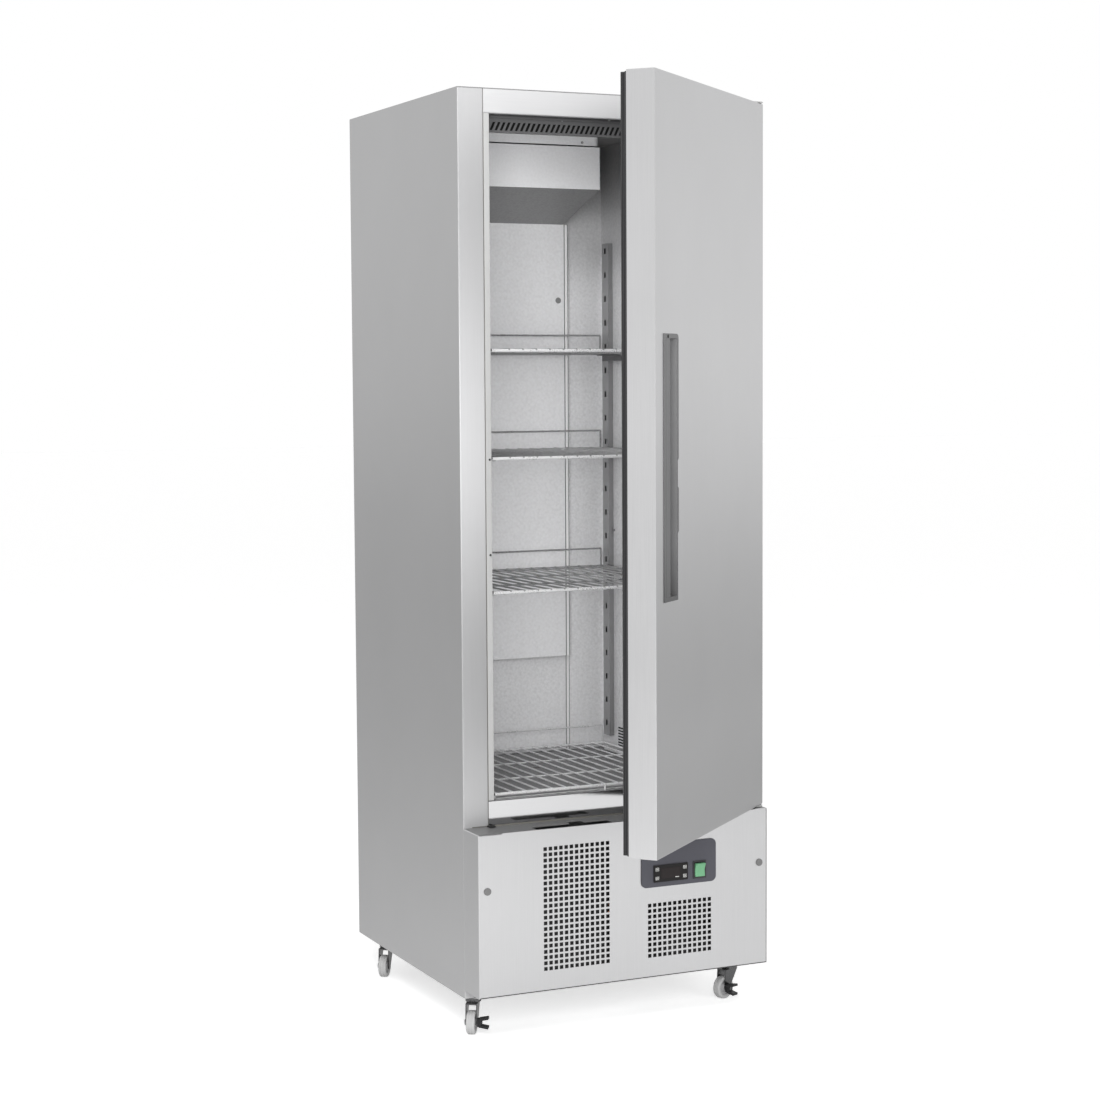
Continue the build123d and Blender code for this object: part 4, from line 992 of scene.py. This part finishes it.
cover_folds = [
    (lambda edge: on_line(edge, 0, -side_x), (0, front_y - cover_front_y, 0)),
    (lambda edge: on_line(edge, 0, side_x), (0, front_y - cover_front_y, 0)),
    (lambda edge: on_line(edge, 2, cover_low_z) and on_line(edge, 1, cover_front_y),
     (0, cover_flange_y - cover_front_y, 0)),
    (lambda edge: on_line(edge, 2, cover_high_z) and on_line(edge, 1, cover_front_y)
     and min(abs(end.x) for end in ends_of(cover, edge)) > cover_corner_x - 0.0001,
     (0, front_y - cover_front_y, 0))]
for test, depth in cover_folds:
    edit(cover, "EDGE", test, bpy.ops.mesh.extrude_edges_move, TRANSFORM_OT_translate={"value": depth})
choose(cover, "VERT", everything)
bpy.ops.mesh.remove_doubles(threshold=0.00002)
bpy.ops.mesh.normals_make_consistent(inside=False)
bpy.ops.object.mode_set(mode="OBJECT")
front_faces = [face for face in cover.data.polygons if abs(face.center.y - cover_front_y) < 0.0001]
if front_faces[0].normal.y > 0:
    flip(cover)


def is_cover_fold(edge):
    """Whether an edge of the cover lies on one of its folds."""
    front = on_line(edge, 1, cover_front_y)
    at_side = on_line(edge, 0, -side_x) or on_line(edge, 0, side_x)
    at_end = on_line(edge, 2, cover_low_z)
    at_top = on_line(edge, 2, cover_high_z)
    corner = min(abs(end.x) for end in ends_of(cover, edge)) > cover_corner_x - 0.0001
    return (front and (at_side or at_end or (at_top and corner))) or (at_side and at_top)


edit(cover, "EDGE", is_cover_fold, bpy.ops.mesh.bevel, offset=cover_fold, segments=4, affect="EDGES")
thicken(cover, cover_wall)
close_up(cover)
# Near-black steel on the walls of the holes and on the folds at the foot and the right: painted shade.
painted_shade_steel = mottled("painted_shade_steel", (0.05, 0.05, 0.05), 900, 0.2, 0.5, 0.1, 0.0001, 0.8)
dress(cover, cover_steel)


def is_painted_shade_face(face):
    """Whether a face of the cover is the wall of a punched hole, or its fold at the foot or the right: the
    faces that take the painted shade.
    """
    in_hole = abs(face.normal.y) < 0.3 and abs(face.center.x) < 0.25 and face.area < 2 * hole * cover_wall
    at_edge = face.center.z < cover_low_z + 2 * cover_wall or face.center.x > side_x - 2 * cover_wall
    return in_hole or (at_edge and face.center.y < cover_front_y + cover_fold)


dress_faces(cover, return_steel,
            lambda face: abs(face.normal.x) > 0.9 and abs(face.center.x) > side_x - 0.002)
dress_faces(cover, ledge_grey, lambda face: face.normal.z > 0.9 and face.center.z > cover_high_z - 0.001)
dress_faces(cover, painted_shade_steel, is_painted_shade_face)
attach(cover, "cabinet")
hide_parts("front_cover")

# Buffer pads
# Small black rubber pads on the two ends of the ledge, against the foot of the stiles. They keep the cover from
# rattling on the sheet. Their black also fills the dark gap at the foot of each stile: painted shade.

pad_black = mottled("pad_rubber", (0.014, 0.014, 0.014), 900, 0.2, 0.7, 0.1, 0.0002)
pad_x = 0.2800
pad_y = -0.3290
pad_z = 0.4395
pad_size = (0.0150, 0.0130, 0.0030)
for side, name in ((-1, "left_buffer_pad"), (1, "right_buffer_pad")):
    pad = block(name, (side * pad_x, pad_y, pad_z), pad_size)
    ease(pad, 0.0010, 3)
    close_up(pad)
    dress(pad, pad_black)
    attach(pad, "cabinet")

# Plugs over the screws
# Round grey push-in caps with a rolled rim: two on the lower cover, two on the duct panel.

plug_grey = mottled("plug_grey", (0.24, 0.24, 0.24), 900, 0.12, 0.42, 0.1, 0.0001)
dark_plug = mottled("dark_plug_grey", (0.135, 0.135, 0.135), 900, 0.12, 0.42, 0.1, 0.0001)
plugs = eased_copy("hole_plugs", "cabinet", plug_grey, 0.0007, 3)
dress_faces(plugs, dark_plug, lambda face: face.center.y < 0)

# Controls
# A slate grey plate with rounded corners, screwed to the cover. It frames the temperature
# controller, a black clip-in unit with a display and four keys, and the green mains rocker.


def soften_shine(material, level):
    """Lower the strength of the reflections of a plastic."""
    material.node_tree.nodes["Principled BSDF"].inputs["Specular IOR Level"].default_value = level


slate = mottled("slate_plate", (0.068, 0.068, 0.081), 700, 0.08, 0.45, 0.1, 0.00006)
soften_shine(slate, 0.3)
fascia_black = mottled("fascia_black", (0.012, 0.011, 0.011), 900, 0.2, 0.38, 0.1, 0.00006)
soften_shine(fascia_black, 0.2)
display_glass = mottled("display_pane", (0.018, 0.014, 0.014), 60, 0.1, 0.08, 0.04, 0.00001)
soften_shine(display_glass, 0.2)
print_white = mottled("key_print", (0.62, 0.62, 0.60), 900, 0.06, 0.5, 0.05, 0.00004)
key_black = mottled("key_black", (0.03, 0.03, 0.03), 900, 0.15, 0.4, 0.1, 0.00006)
switch_green = mottled("rocker_green", (0.135, 0.35, 0.185), 400, 0.10, 0.22, 0.08, 0.00004)
eased_copy("control_plate", "cabinet", slate, 0.0008, 3)
eased_copy("controller", "cabinet", fascia_black, 0.0006, 3)
eased_copy("rocker_bezel", "cabinet", black_plastic, 0.0006, 3)
eased_copy("rocker", "rocker", switch_green, 0.0008, 3)
fascia_front_y = -0.405
fascia_x = 0.1015
fascia_z = 0.320
display_wide = 0.0460
display_tall = 0.0230
pane_wall = 0.0005
dash_right = 0.0145
dash_drop = 0.0100
key_front_y = -0.4054
key_places = ((-0.033, -0.0095), (-0.033, 0.0095), (0.033, -0.0095), (0.033, 0.0095))


def flat_plate(name, x, y, z, wide, tall, thick):
    """A thin upright plate that stands proud of the face at y, its front edges eased."""
    plate = block(name, (x, y - thick / 2, z), (wide, thick, tall))
    edit(plate, "FACE", lambda face: face.normal.y < -0.9,
         bpy.ops.mesh.bevel, offset=thick * 0.45, segments=2, affect="EDGES")
    close_up(plate)
    return plate


def outline_mark(name, x, y, z, wide, tall, line):
    """A printed rectangular outline, as a thin layer of ink."""
    bpy.ops.mesh.primitive_plane_add(
        size=1, location=(x, y - 0.00002, z), rotation=(math.radians(90), 0, 0))
    mark = bpy.context.object
    mark.name = name
    mark.scale = (wide, tall, 1)
    bpy.ops.object.transform_apply()
    choose(mark, "FACE", everything)
    bpy.ops.mesh.inset(thickness=line)
    bpy.ops.mesh.delete(type="FACE")
    bpy.ops.object.mode_set(mode="OBJECT")
    finish_with(mark, "SOLIDIFY", thickness=0.00012, offset=1)
    return mark


pane = flat_plate("display_pane", fascia_x - 0.001, fascia_front_y, fascia_z, display_wide, display_tall,
                  pane_wall)
dress(pane, display_glass)
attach(pane, "cabinet")
dash = flat_plate("display_dash", fascia_x + dash_right, fascia_front_y - pane_wall, fascia_z - dash_drop,
                  0.0085, 0.0016, 0.0002)
dress(dash, print_white)
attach(dash, "cabinet")
for number, (x, z) in enumerate(key_places, 1):
    body = "controller_key_" + str(number)
    key = eased_copy(body, body, key_black, 0.0006, 3)
    outer = outline_mark(body + "_frame", fascia_x + x, key_front_y, fascia_z + z, 0.0076, 0.0066, 0.0008)
    inner = outline_mark(body + "_mark", fascia_x + x, key_front_y, fascia_z + z, 0.0036, 0.0024, 0.0007)
    for mark in (outer, inner):
        dress(mark, print_white)
        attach(mark, body)

# Door skin and inner panel
# A stainless tray with folded edges, foamed to an inner panel with a raised middle. The face is cut
# out for the grip. The door hangs on pins at its right edge and stands 41.4 degrees open.

hinge_point = Vector((0.315, -0.376, 0))
door_angle = math.radians(41.4)
door_left_x = -0.301
door_right_x = 0.339
door_front_y = -0.393
door_low_z = 0.4425
door_high_z = 1.949
door_fold = 0.0022
# The door edge takes a lighter copy of the door steel, and the height ramps on both darken them towards the
# foot: painted light and painted reflection.
door_steel = brushed("door_steel", (700, 700, 7), 0.48, 0.58, 0.24, 0.40)
door_edge_steel = brushed("door_edge_steel", (700, 700, 7), 0.58, 0.72, 0.24, 0.38)
painted_light_by_height(door_steel, [(0.44, 0.70), (0.70, 0.84), (1.20, 1.14), (1.95, 1.0)])
painted_light_by_height(door_edge_steel, [(0.44, 0.95), (1.20, 1.12), (1.95, 0.98)])
inner_panel_white = pebbled("pebbled_door_panel", 0.42, 0.52, 230, 0.0003)


def hang_open(piece, direction=1):
    """Turn the mesh of a piece of the shut door about the hinge to the photographed angle, or back."""
    piece.data.transform(
        Matrix.Translation(hinge_point) @ Matrix.Rotation(direction * door_angle, 4, "Z")
        @ Matrix.Translation(-hinge_point))


door_skin = copy_of("door_skin", "door_skin_sheet")
hang_open(door_skin, -1)


def on_door_corner(edge):
    """Whether an edge is one of the eight outer folds and seams round the door face."""
    first, last = ends_of(door_skin, edge)

    def both(axis, value):
        return abs(first[axis] - value) < 0.0002 and abs(last[axis] - value) < 0.0002

    planes = (both(1, door_front_y), both(0, door_left_x) or both(0, door_right_x),
              both(2, door_low_z) or both(2, door_high_z))
    return sum(planes) == 2


edit(door_skin, "EDGE", on_door_corner, bpy.ops.mesh.bevel, offset=door_fold, segments=4, affect="EDGES")
close_up(door_skin, 40)
dress(door_skin, door_steel)
dress_faces(door_skin, door_edge_steel, lambda face: face.center.x < door_left_x + 0.0012)
hang_open(door_skin)
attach(door_skin, "door")
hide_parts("door_skin")
dress(nodes["door_liner"], inner_panel_white)

# Door seal
# Black extruded rubber with a magnet inside, pressed into the edge of the inner panel: a flat base
# with two soft lips, mitred at the corners.

rubber = mottled("seal_rubber", (0.022, 0.022, 0.023), 900, 0.2, 0.5, 0.1, 0.0001)
seal_box = (-0.297, 0.317, 0.4455, 1.946)
seal_back_y = -0.335
seal_profile = [
    (0.0, -0.3310), (0.0010, -0.3310), (0.0010, -0.3290), (0.0024, -0.3282), (0.0010, -0.3274),
    (0.0010, -0.3258), (0.0024, -0.3250), (0.0010, -0.3242), (0.0013, -0.3219), (0.0020, -0.3214),
    (0.0070, -0.3214), (0.0080, -0.3222), (0.0080, -0.3310), (0.0130, -0.3310), (0.0130, -0.3222),
    (0.0138, -0.3214), (0.0222, -0.3214), (0.0230, -0.3222), (0.0230, -0.3310), (0.0240, -0.3310),
    (0.0240, -0.3350)]


def mitred_frame(name, box, start_y, profile):
    """A four-sided moulding with mitred corners, drawn step by step from its outer edge inwards."""
    left, right, low, high = box
    bpy.ops.mesh.primitive_plane_add(size=1, rotation=(math.radians(90), 0, 0))
    frame_piece = bpy.context.object
    frame_piece.name = name
    bpy.ops.object.transform_apply()

    def set_corners(inset, y):
        bpy.ops.object.mode_set(mode="OBJECT")
        for corner in frame_piece.data.vertices:
            if corner.select:
                x = left + inset if corner.co.x < middle_x else right - inset
                z = low + inset if corner.co.z < middle_z else high - inset
                corner.co = (x, y, z)
        bpy.ops.object.mode_set(mode="EDIT")

    middle_x, middle_z = 0, 0
    choose(frame_piece, "FACE", everything)
    set_corners(0, start_y)
    middle_x, middle_z = (left + right) / 2, (low + high) / 2
    for inset, y in profile:
        bpy.ops.mesh.extrude_region()
        set_corners(inset, y)
    bpy.ops.mesh.delete(type="FACE")
    bpy.ops.mesh.select_all(action="SELECT")
    bpy.ops.mesh.normals_make_consistent(inside=False)
    bpy.ops.object.mode_set(mode="OBJECT")
    shoulder = min(frame_piece.data.polygons, key=lambda face: abs(face.center.y - profile[10][1]))
    if shoulder.normal.y < 0:
        flip(frame_piece)
    return frame_piece


seal = mitred_frame("door_seal_lips", seal_box, seal_back_y, seal_profile)
close_up(seal, 40)
dress(seal, rubber)
hang_open(seal)
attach(seal, "door")
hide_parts("door_gasket")

# Door grip
# A moulded grey plastic insert in the door face: a flange with two stepped-in stretches on its
# right edge, a finger trough and a lip to pull on. One screw at the top holds it.

handle_left_x = -0.259
handle_right_x = -0.181
handle_low_z = 0.936
handle_high_z = 1.453
handle_front_y = -0.395
handle_step = 0.005
handle_steps = (1.212, 1.154, 1.070)
handle_round = 0.009
trough_left_x = -0.250
trough_right_x = -0.190
trough_low_z = 0.945
trough_high_z = 1.444
trough_floor_y = -0.371
grip_right_x = -0.227
grip_depth = 0.005
rim_wall = 0.002
# The trough takes a lighter copy of the grip plastic to make up for the shade in it, and the ramps darken both
# towards the foot: painted light and painted reflection.
grip_grey = mottled("grip_plastic", (0.098, 0.098, 0.100), 800, 0.10, 0.42, 0.10, 0.0001)
trough_grey = mottled("trough_plastic", (0.17, 0.17, 0.172), 800, 0.12, 0.50, 0.10, 0.0001)
for plastic in (grip_grey, trough_grey):
    painted_light_by_height(plastic, [(0.86, 0.38), (1.08, 0.96), (1.35, 1.12)])


def drawn_outline(name, points, join_ends=True):
    """A face or a chain of edges through the given points."""
    bpy.ops.mesh.primitive_plane_add(size=1)
    piece = bpy.context.object
    piece.name = name
    edit(piece, "VERT", lambda corner: corner.index > 0, bpy.ops.mesh.delete, type="VERT")
    piece.data.vertices[0].co = points[0]
    choose(piece, "VERT", everything)
    for before, after in zip(points, points[1:]):
        leg = Vector(after) - Vector(before)
        bpy.ops.mesh.extrude_vertices_move(TRANSFORM_OT_translate={"value": leg})
    if join_ends:
        bpy.ops.mesh.select_all(action="SELECT")
        bpy.ops.mesh.edge_face_add()
    bpy.ops.object.mode_set(mode="OBJECT")
    return piece


def rounded_corner(middle_x, middle_z, radius, y):
    """Points of a quarter circle from the top to the right, at depth y."""
    steps = 5
    turns = [math.radians(90 - 90 * step / steps) for step in range(steps + 1)]
    return [(middle_x + radius * math.cos(turn), y, middle_z + radius * math.sin(turn)) for turn in turns]


high, middle, low = handle_steps
stepped_x = handle_right_x - handle_step
flange_points = (
    [(handle_left_x, handle_front_y, handle_low_z), (handle_left_x, handle_front_y, handle_high_z)]
    + rounded_corner(handle_right_x - handle_round, handle_high_z - handle_round, handle_round,
                     handle_front_y)
    + [(handle_right_x, handle_front_y, high), (stepped_x, handle_front_y, high - 0.004),
       (stepped_x, handle_front_y, middle + 0.004), (handle_right_x, handle_front_y, middle),
       (handle_right_x, handle_front_y, low), (stepped_x, handle_front_y, low - 0.004),
       (stepped_x, handle_front_y, handle_low_z)])
flange = drawn_outline("door_grip", flange_points)
if flange.data.polygons[0].normal.y > 0:
    flip(flange)

frame_off(flange, trough_left_x, trough_right_x, trough_low_z, trough_high_z)
take_away(flange, lambda face: trough_left_x < face.center.x < trough_right_x
          and trough_low_z < face.center.z < trough_high_z)


def on_trough_edge(edge):
    """Whether an edge of the flange is on the mouth of the trough."""
    first, last = ends_of(flange, edge)
    middle = (first + last) / 2
    wide = abs(middle.x - (trough_left_x + trough_right_x) / 2)
    tall = abs(middle.z - (trough_low_z + trough_high_z) / 2)
    in_wide = wide < (trough_right_x - trough_left_x) / 2 + 0.0001
    in_tall = tall < (trough_high_z - trough_low_z) / 2 + 0.0001
    return in_wide and in_tall and abs(middle.y - handle_front_y) < 0.0001


choose(flange, "EDGE", on_trough_edge)
bpy.ops.mesh.extrude_edges_move(TRANSFORM_OT_translate={"value": (0, trough_floor_y - handle_front_y, 0)})
bpy.ops.mesh.edge_face_add()
bpy.ops.object.mode_set(mode="OBJECT")
counts = edge_counts(flange)
edit(flange, "EDGE", lambda edge: counts.get(edge.key, 0) == 1,
     bpy.ops.mesh.extrude_edges_move, TRANSFORM_OT_translate={"value": (0, rim_wall, 0)})
edit(flange, "FACE", everything, bpy.ops.mesh.normals_make_consistent, inside=False)
if max(flange.data.polygons, key=lambda face: face.center.y).normal.y > 0:
    flip(flange)
ease(flange, 0.0009, 3)
close_up(flange)
dress(flange, grip_grey)
dress_faces(flange, trough_grey, lambda face: face.center.y > handle_front_y + 0.003)

grip = block(
    "door_grip_lip",
    ((trough_left_x + grip_right_x) / 2, handle_front_y + grip_depth / 2,
     (trough_low_z + trough_high_z) / 2),
    (grip_right_x - trough_left_x, grip_depth, trough_high_z - trough_low_z))
edit(grip, "EDGE", lambda edge: min(end.x for end in ends_of(grip, edge)) > grip_right_x - 0.0001
     and length_along(grip, edge, 2) > 0.1, bpy.ops.mesh.bevel, offset=0.0022, segments=4, affect="EDGES")
close_up(grip)
dress(grip, grip_grey)

screw_x = -0.239
screw_z = 1.4475
screw_radius = 0.0032
screw = sunk_head("door_grip_screw", (screw_x, handle_front_y - 0.0003, screw_z), screw_radius, 0.0010,
                  screw_radius * 0.35, 0.0005)

for piece in (flange, grip, screw):
    hang_open(piece)
    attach(piece, "door")
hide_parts("door_handle")

# Hinge brackets
# Zinc plated plates bolted to the front frame over and under the door, each with a pin that stands
# in the door's bush. The upper one is held by two dome-headed screws.

zinc = mottled("bright_zinc", (0.58, 0.58, 0.575), 400, 0.15, 0.28, 0.2, 0.0001, 0.9)
eased_copy("hinge_brackets", "cabinet", zinc, 0.0006, 3)
bracket_screw_z = 1.9555
for number, x in enumerate((0.309, 0.331), 1):
    head = dome_screw("bracket_screw_" + str(number), (x, -0.3235, bracket_screw_z), (0, -1, 0), 0.0030)
    dress(head, zinc)

# Castors
# Light grey solid wheels with two fine grooves round the tread, in pressed and zinc plated forks on
# a ball race under a square plate. The two at the front have black brake pedals beside the wheel.


def turned(name, profile, centre, axis, steps=40):
    """A body turned from a profile about an axis, closed and facing outwards."""
    piece = drawn_outline(name, profile, join_ends=False)
    choose(piece, "VERT", everything)
    bpy.ops.mesh.spin(steps=steps, angle=math.tau, center=centre, axis=axis)
    bpy.ops.mesh.select_all(action="SELECT")
    bpy.ops.mesh.remove_doubles(threshold=0.00002)
    bpy.ops.mesh.normals_make_consistent(inside=False)
    close_up(piece, 35)
    return piece


tyre_grey = mottled("tyre_grey", (0.46, 0.46, 0.46), 700, 0.12, 0.45, 0.1, 0.00015)
hub_grey = mottled("hub_grey", (0.36, 0.36, 0.365), 800, 0.12, 0.40, 0.1, 0.0001)
pedal_black = mottled("pedal_black", (0.018, 0.018, 0.019), 700, 0.2, 0.45, 0.1, 0.0001)
soften_shine(pedal_black, 0.3)
fork_zinc = mottled("fork_zinc", (0.40, 0.40, 0.405), 400, 0.18, 0.30, 0.2, 0.0001, 0.9)
fork_steel = mottled("fork_steel", (0.11, 0.11, 0.112), 300, 0.5, 0.22, 0.2, 0.0002, 0.9)
wheel_trail = 0.022
wheel_radius = 0.025
half_tread = 0.009
axle_bore = 0.0042
castors = {
    "front_left": (-0.308, -0.290, 238),
    "front_right": (0.308, -0.290, 200),
    "rear_left": (-0.308, 0.222, 234),
    "rear_right": (0.308, 0.222, 250)}
tread_profile = [
    (0.0165, 0.0060), (0.0185, 0.0086), (0.0222, half_tread), (0.0240, 0.0080), (wheel_radius, 0.0058),
    (wheel_radius, 0.0036), (0.0243, 0.0032), (0.0243, 0.0026), (wheel_radius, 0.0022)]
tread_profile = tread_profile + [(radius, -y) for radius, y in reversed(tread_profile)]
hub_profile = [
    (axle_bore, 0.0086), (0.0085, 0.0086), (0.0092, 0.0078), (0.0098, 0.0048), (0.0160, 0.0048),
    (0.0172, 0.0066)]
hub_profile = hub_profile + [(radius, -y) for radius, y in reversed(hub_profile)] + [hub_profile[0]]
race_profile = [(0.0120, 0.0735), (0.0205, 0.0735), (0.0215, 0.0742), (0.0215, 0.0758), (0.0200, 0.0768),
                (0.0120, 0.0774)]


def about_axle(profile):
    """Profile points given as (radius, width), as points beside the wheel's axle."""
    return [(wheel_trail + radius, y, wheel_radius) for radius, y in profile]


axle = (wheel_trail, 0, wheel_radius)
pattern_tyre = turned("pattern_tyre", about_axle(tread_profile), axle, (0, 1, 0), 56)
pattern_hub = turned("pattern_hub", about_axle(hub_profile), axle, (0, 1, 0))
dress(pattern_tyre, tyre_grey)
dress(pattern_hub, hub_grey)
pattern_wheel = joined("pattern_wheel", [pattern_tyre, pattern_hub])
pattern_race = turned("pattern_race", [(radius, 0, z) for radius, z in race_profile], (0, 0, 0), (0, 0, 1))
dress(pattern_race, fork_zinc)
bpy.ops.mesh.primitive_cylinder_add(
    vertices=6, radius=0.0065, depth=0.003, location=(wheel_trail, -0.0139, wheel_radius),
    rotation=(math.radians(90), 0, 0))
pattern_nut = bpy.context.object
bpy.ops.object.transform_apply()
ease(pattern_nut, 0.0007)
close_up(pattern_nut)
dress(pattern_nut, fork_zinc)


def set_under(pattern, name, corner):
    """A copy of a castor piece, turned to the castor's heading and put under its corner."""
    x, y, heading = castors[corner]
    return placed_copy(
        pattern, name, Matrix.Translation((x, y, 0)) @ Matrix.Rotation(math.radians(heading), 4, "Z"))


eased_copy("castor_plates", "cabinet", fork_steel, 0.0006, 3)
for corner in castors:
    fork = "castor_fork_" + corner
    wheel = "castor_wheel_" + corner
    eased_copy(fork, fork, fork_steel, 0.0006, 3)
    tyre = set_under(pattern_wheel, wheel + "_turned", corner)
    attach(tyre, wheel)
    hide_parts(wheel)
    race = set_under(pattern_race, "castor_race_" + corner, corner)
    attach(race, "cabinet")
    nut = set_under(pattern_nut, "castor_nut_" + corner, corner)
    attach(nut, fork)
    if corner.startswith("front"):
        pedal = "brake_pedal_" + corner
        eased_copy(pedal, pedal, pedal_black, 0.0023, 5)
for pattern in (pattern_wheel, pattern_race, pattern_nut):
    bpy.data.objects.remove(pattern)

# Studio
# A white seamless ground and four soft lamps, seen from the photograph's place.

white_ground, tree, shader, coords = blank_material("studio_ground")
seen_glow = 0.55
mirrored_glow = 0.22
grain = make_node(tree, "TexNoise", {"Vector": coords, "Scale": 40}).outputs["Fac"]
tint = make_node(tree, "MapRange", {"Value": grain, "To Min": 0.86, "To Max": 0.90})
ray = make_node(tree, "LightPath").outputs
seen = make_node(tree, "Math", {0: ray["Is Camera Ray"], 1: seen_glow}, operation="MULTIPLY")
glow = make_node(tree, "Math", {0: ray["Is Glossy Ray"], 1: mirrored_glow, 2: seen.outputs[0]},
                 operation="MULTIPLY_ADD")
connect(tree, shader, {
    "Base Color": tint.outputs["Result"], "Roughness": 0.9, "Emission Strength": glow.outputs[0],
    "Emission Color": (1, 1, 1, 1)})
add_bump(tree, shader, grain, 0.1, 0.0005)
bpy.ops.mesh.primitive_plane_add(size=80, location=(0, 0, 0))
floor = bpy.context.object
floor.name = "studio_floor"
floor.data.materials.append(white_ground)

world = bpy.data.worlds.new("studio_air")
bpy.context.scene.world = world
world.use_nodes = True
air = world.node_tree
fill = air.nodes["Background"]
ray = make_node(air, "LightPath").outputs
seen = make_node(air, "Math", {0: ray["Is Camera Ray"], 1: ray["Is Transmission Ray"]}, operation="MAXIMUM")
shown = make_node(air, "Math", {0: seen.outputs[0], 1: ray["Is Glossy Ray"]}, operation="MAXIMUM")
strength = make_node(air, "MapRange", {"Value": shown.outputs[0], "To Min": 0.45, "To Max": 1.0})
connect(air, fill, {"Color": (1, 1, 1, 1), "Strength": strength.outputs["Result"]})


def soft_box(name, place, target, size, watts):
    """A square soft lamp at a place, turned towards a target, which doesn't show in the steel."""
    bpy.ops.object.light_add(type="AREA", location=place)
    lamp = bpy.context.object
    lamp.name = name
    lamp.data.shape = "SQUARE"
    lamp.data.size = size
    lamp.data.energy = watts
    lamp.rotation_euler = (Vector(target) - Vector(place)).to_track_quat("-Z", "Y").to_euler()
    lamp.visible_glossy = False


soft_box("left_soft_box", (-1.7, -4.1, 1.7), (-0.1, 0, 1.1), 1.8, 110)
soft_box("right_soft_box", (1.4, -4.6, 1.5), (0, -0.3, 1.2), 2.4, 45)
soft_box("inside_soft_box", (-1.6, -1.9, 2.5), (0.27, 0, 1.1), 0.9, 25)
soft_box("top_soft_box", (-0.6, -1.8, 4.2), (0, 0, 1.0), 2.2, 35)

camera_data = bpy.data.cameras.new("studio_camera")
camera = bpy.data.objects.new("studio_camera", camera_data)
bpy.context.collection.objects.link(camera)
camera_place = (-2.1236, -4.6211, 1.3657)
camera_turn = math.radians(-24.99)
camera_tilt = math.radians(85.95)
camera_roll = math.radians(-0.328)
camera_data.sensor_width = 36
camera_data.lens = 74.31
camera_data.shift_x = -0.0075
camera_data.shift_y = -0.0087
camera.matrix_world = (
    Matrix.Translation(camera_place) @ Matrix.Rotation(camera_turn, 4, "Z")
    @ Matrix.Rotation(camera_tilt, 4, "X") @ Matrix.Rotation(camera_roll, 4, "Z"))
bpy.context.scene.camera = camera
bpy.context.scene.view_settings.view_transform = "Standard"
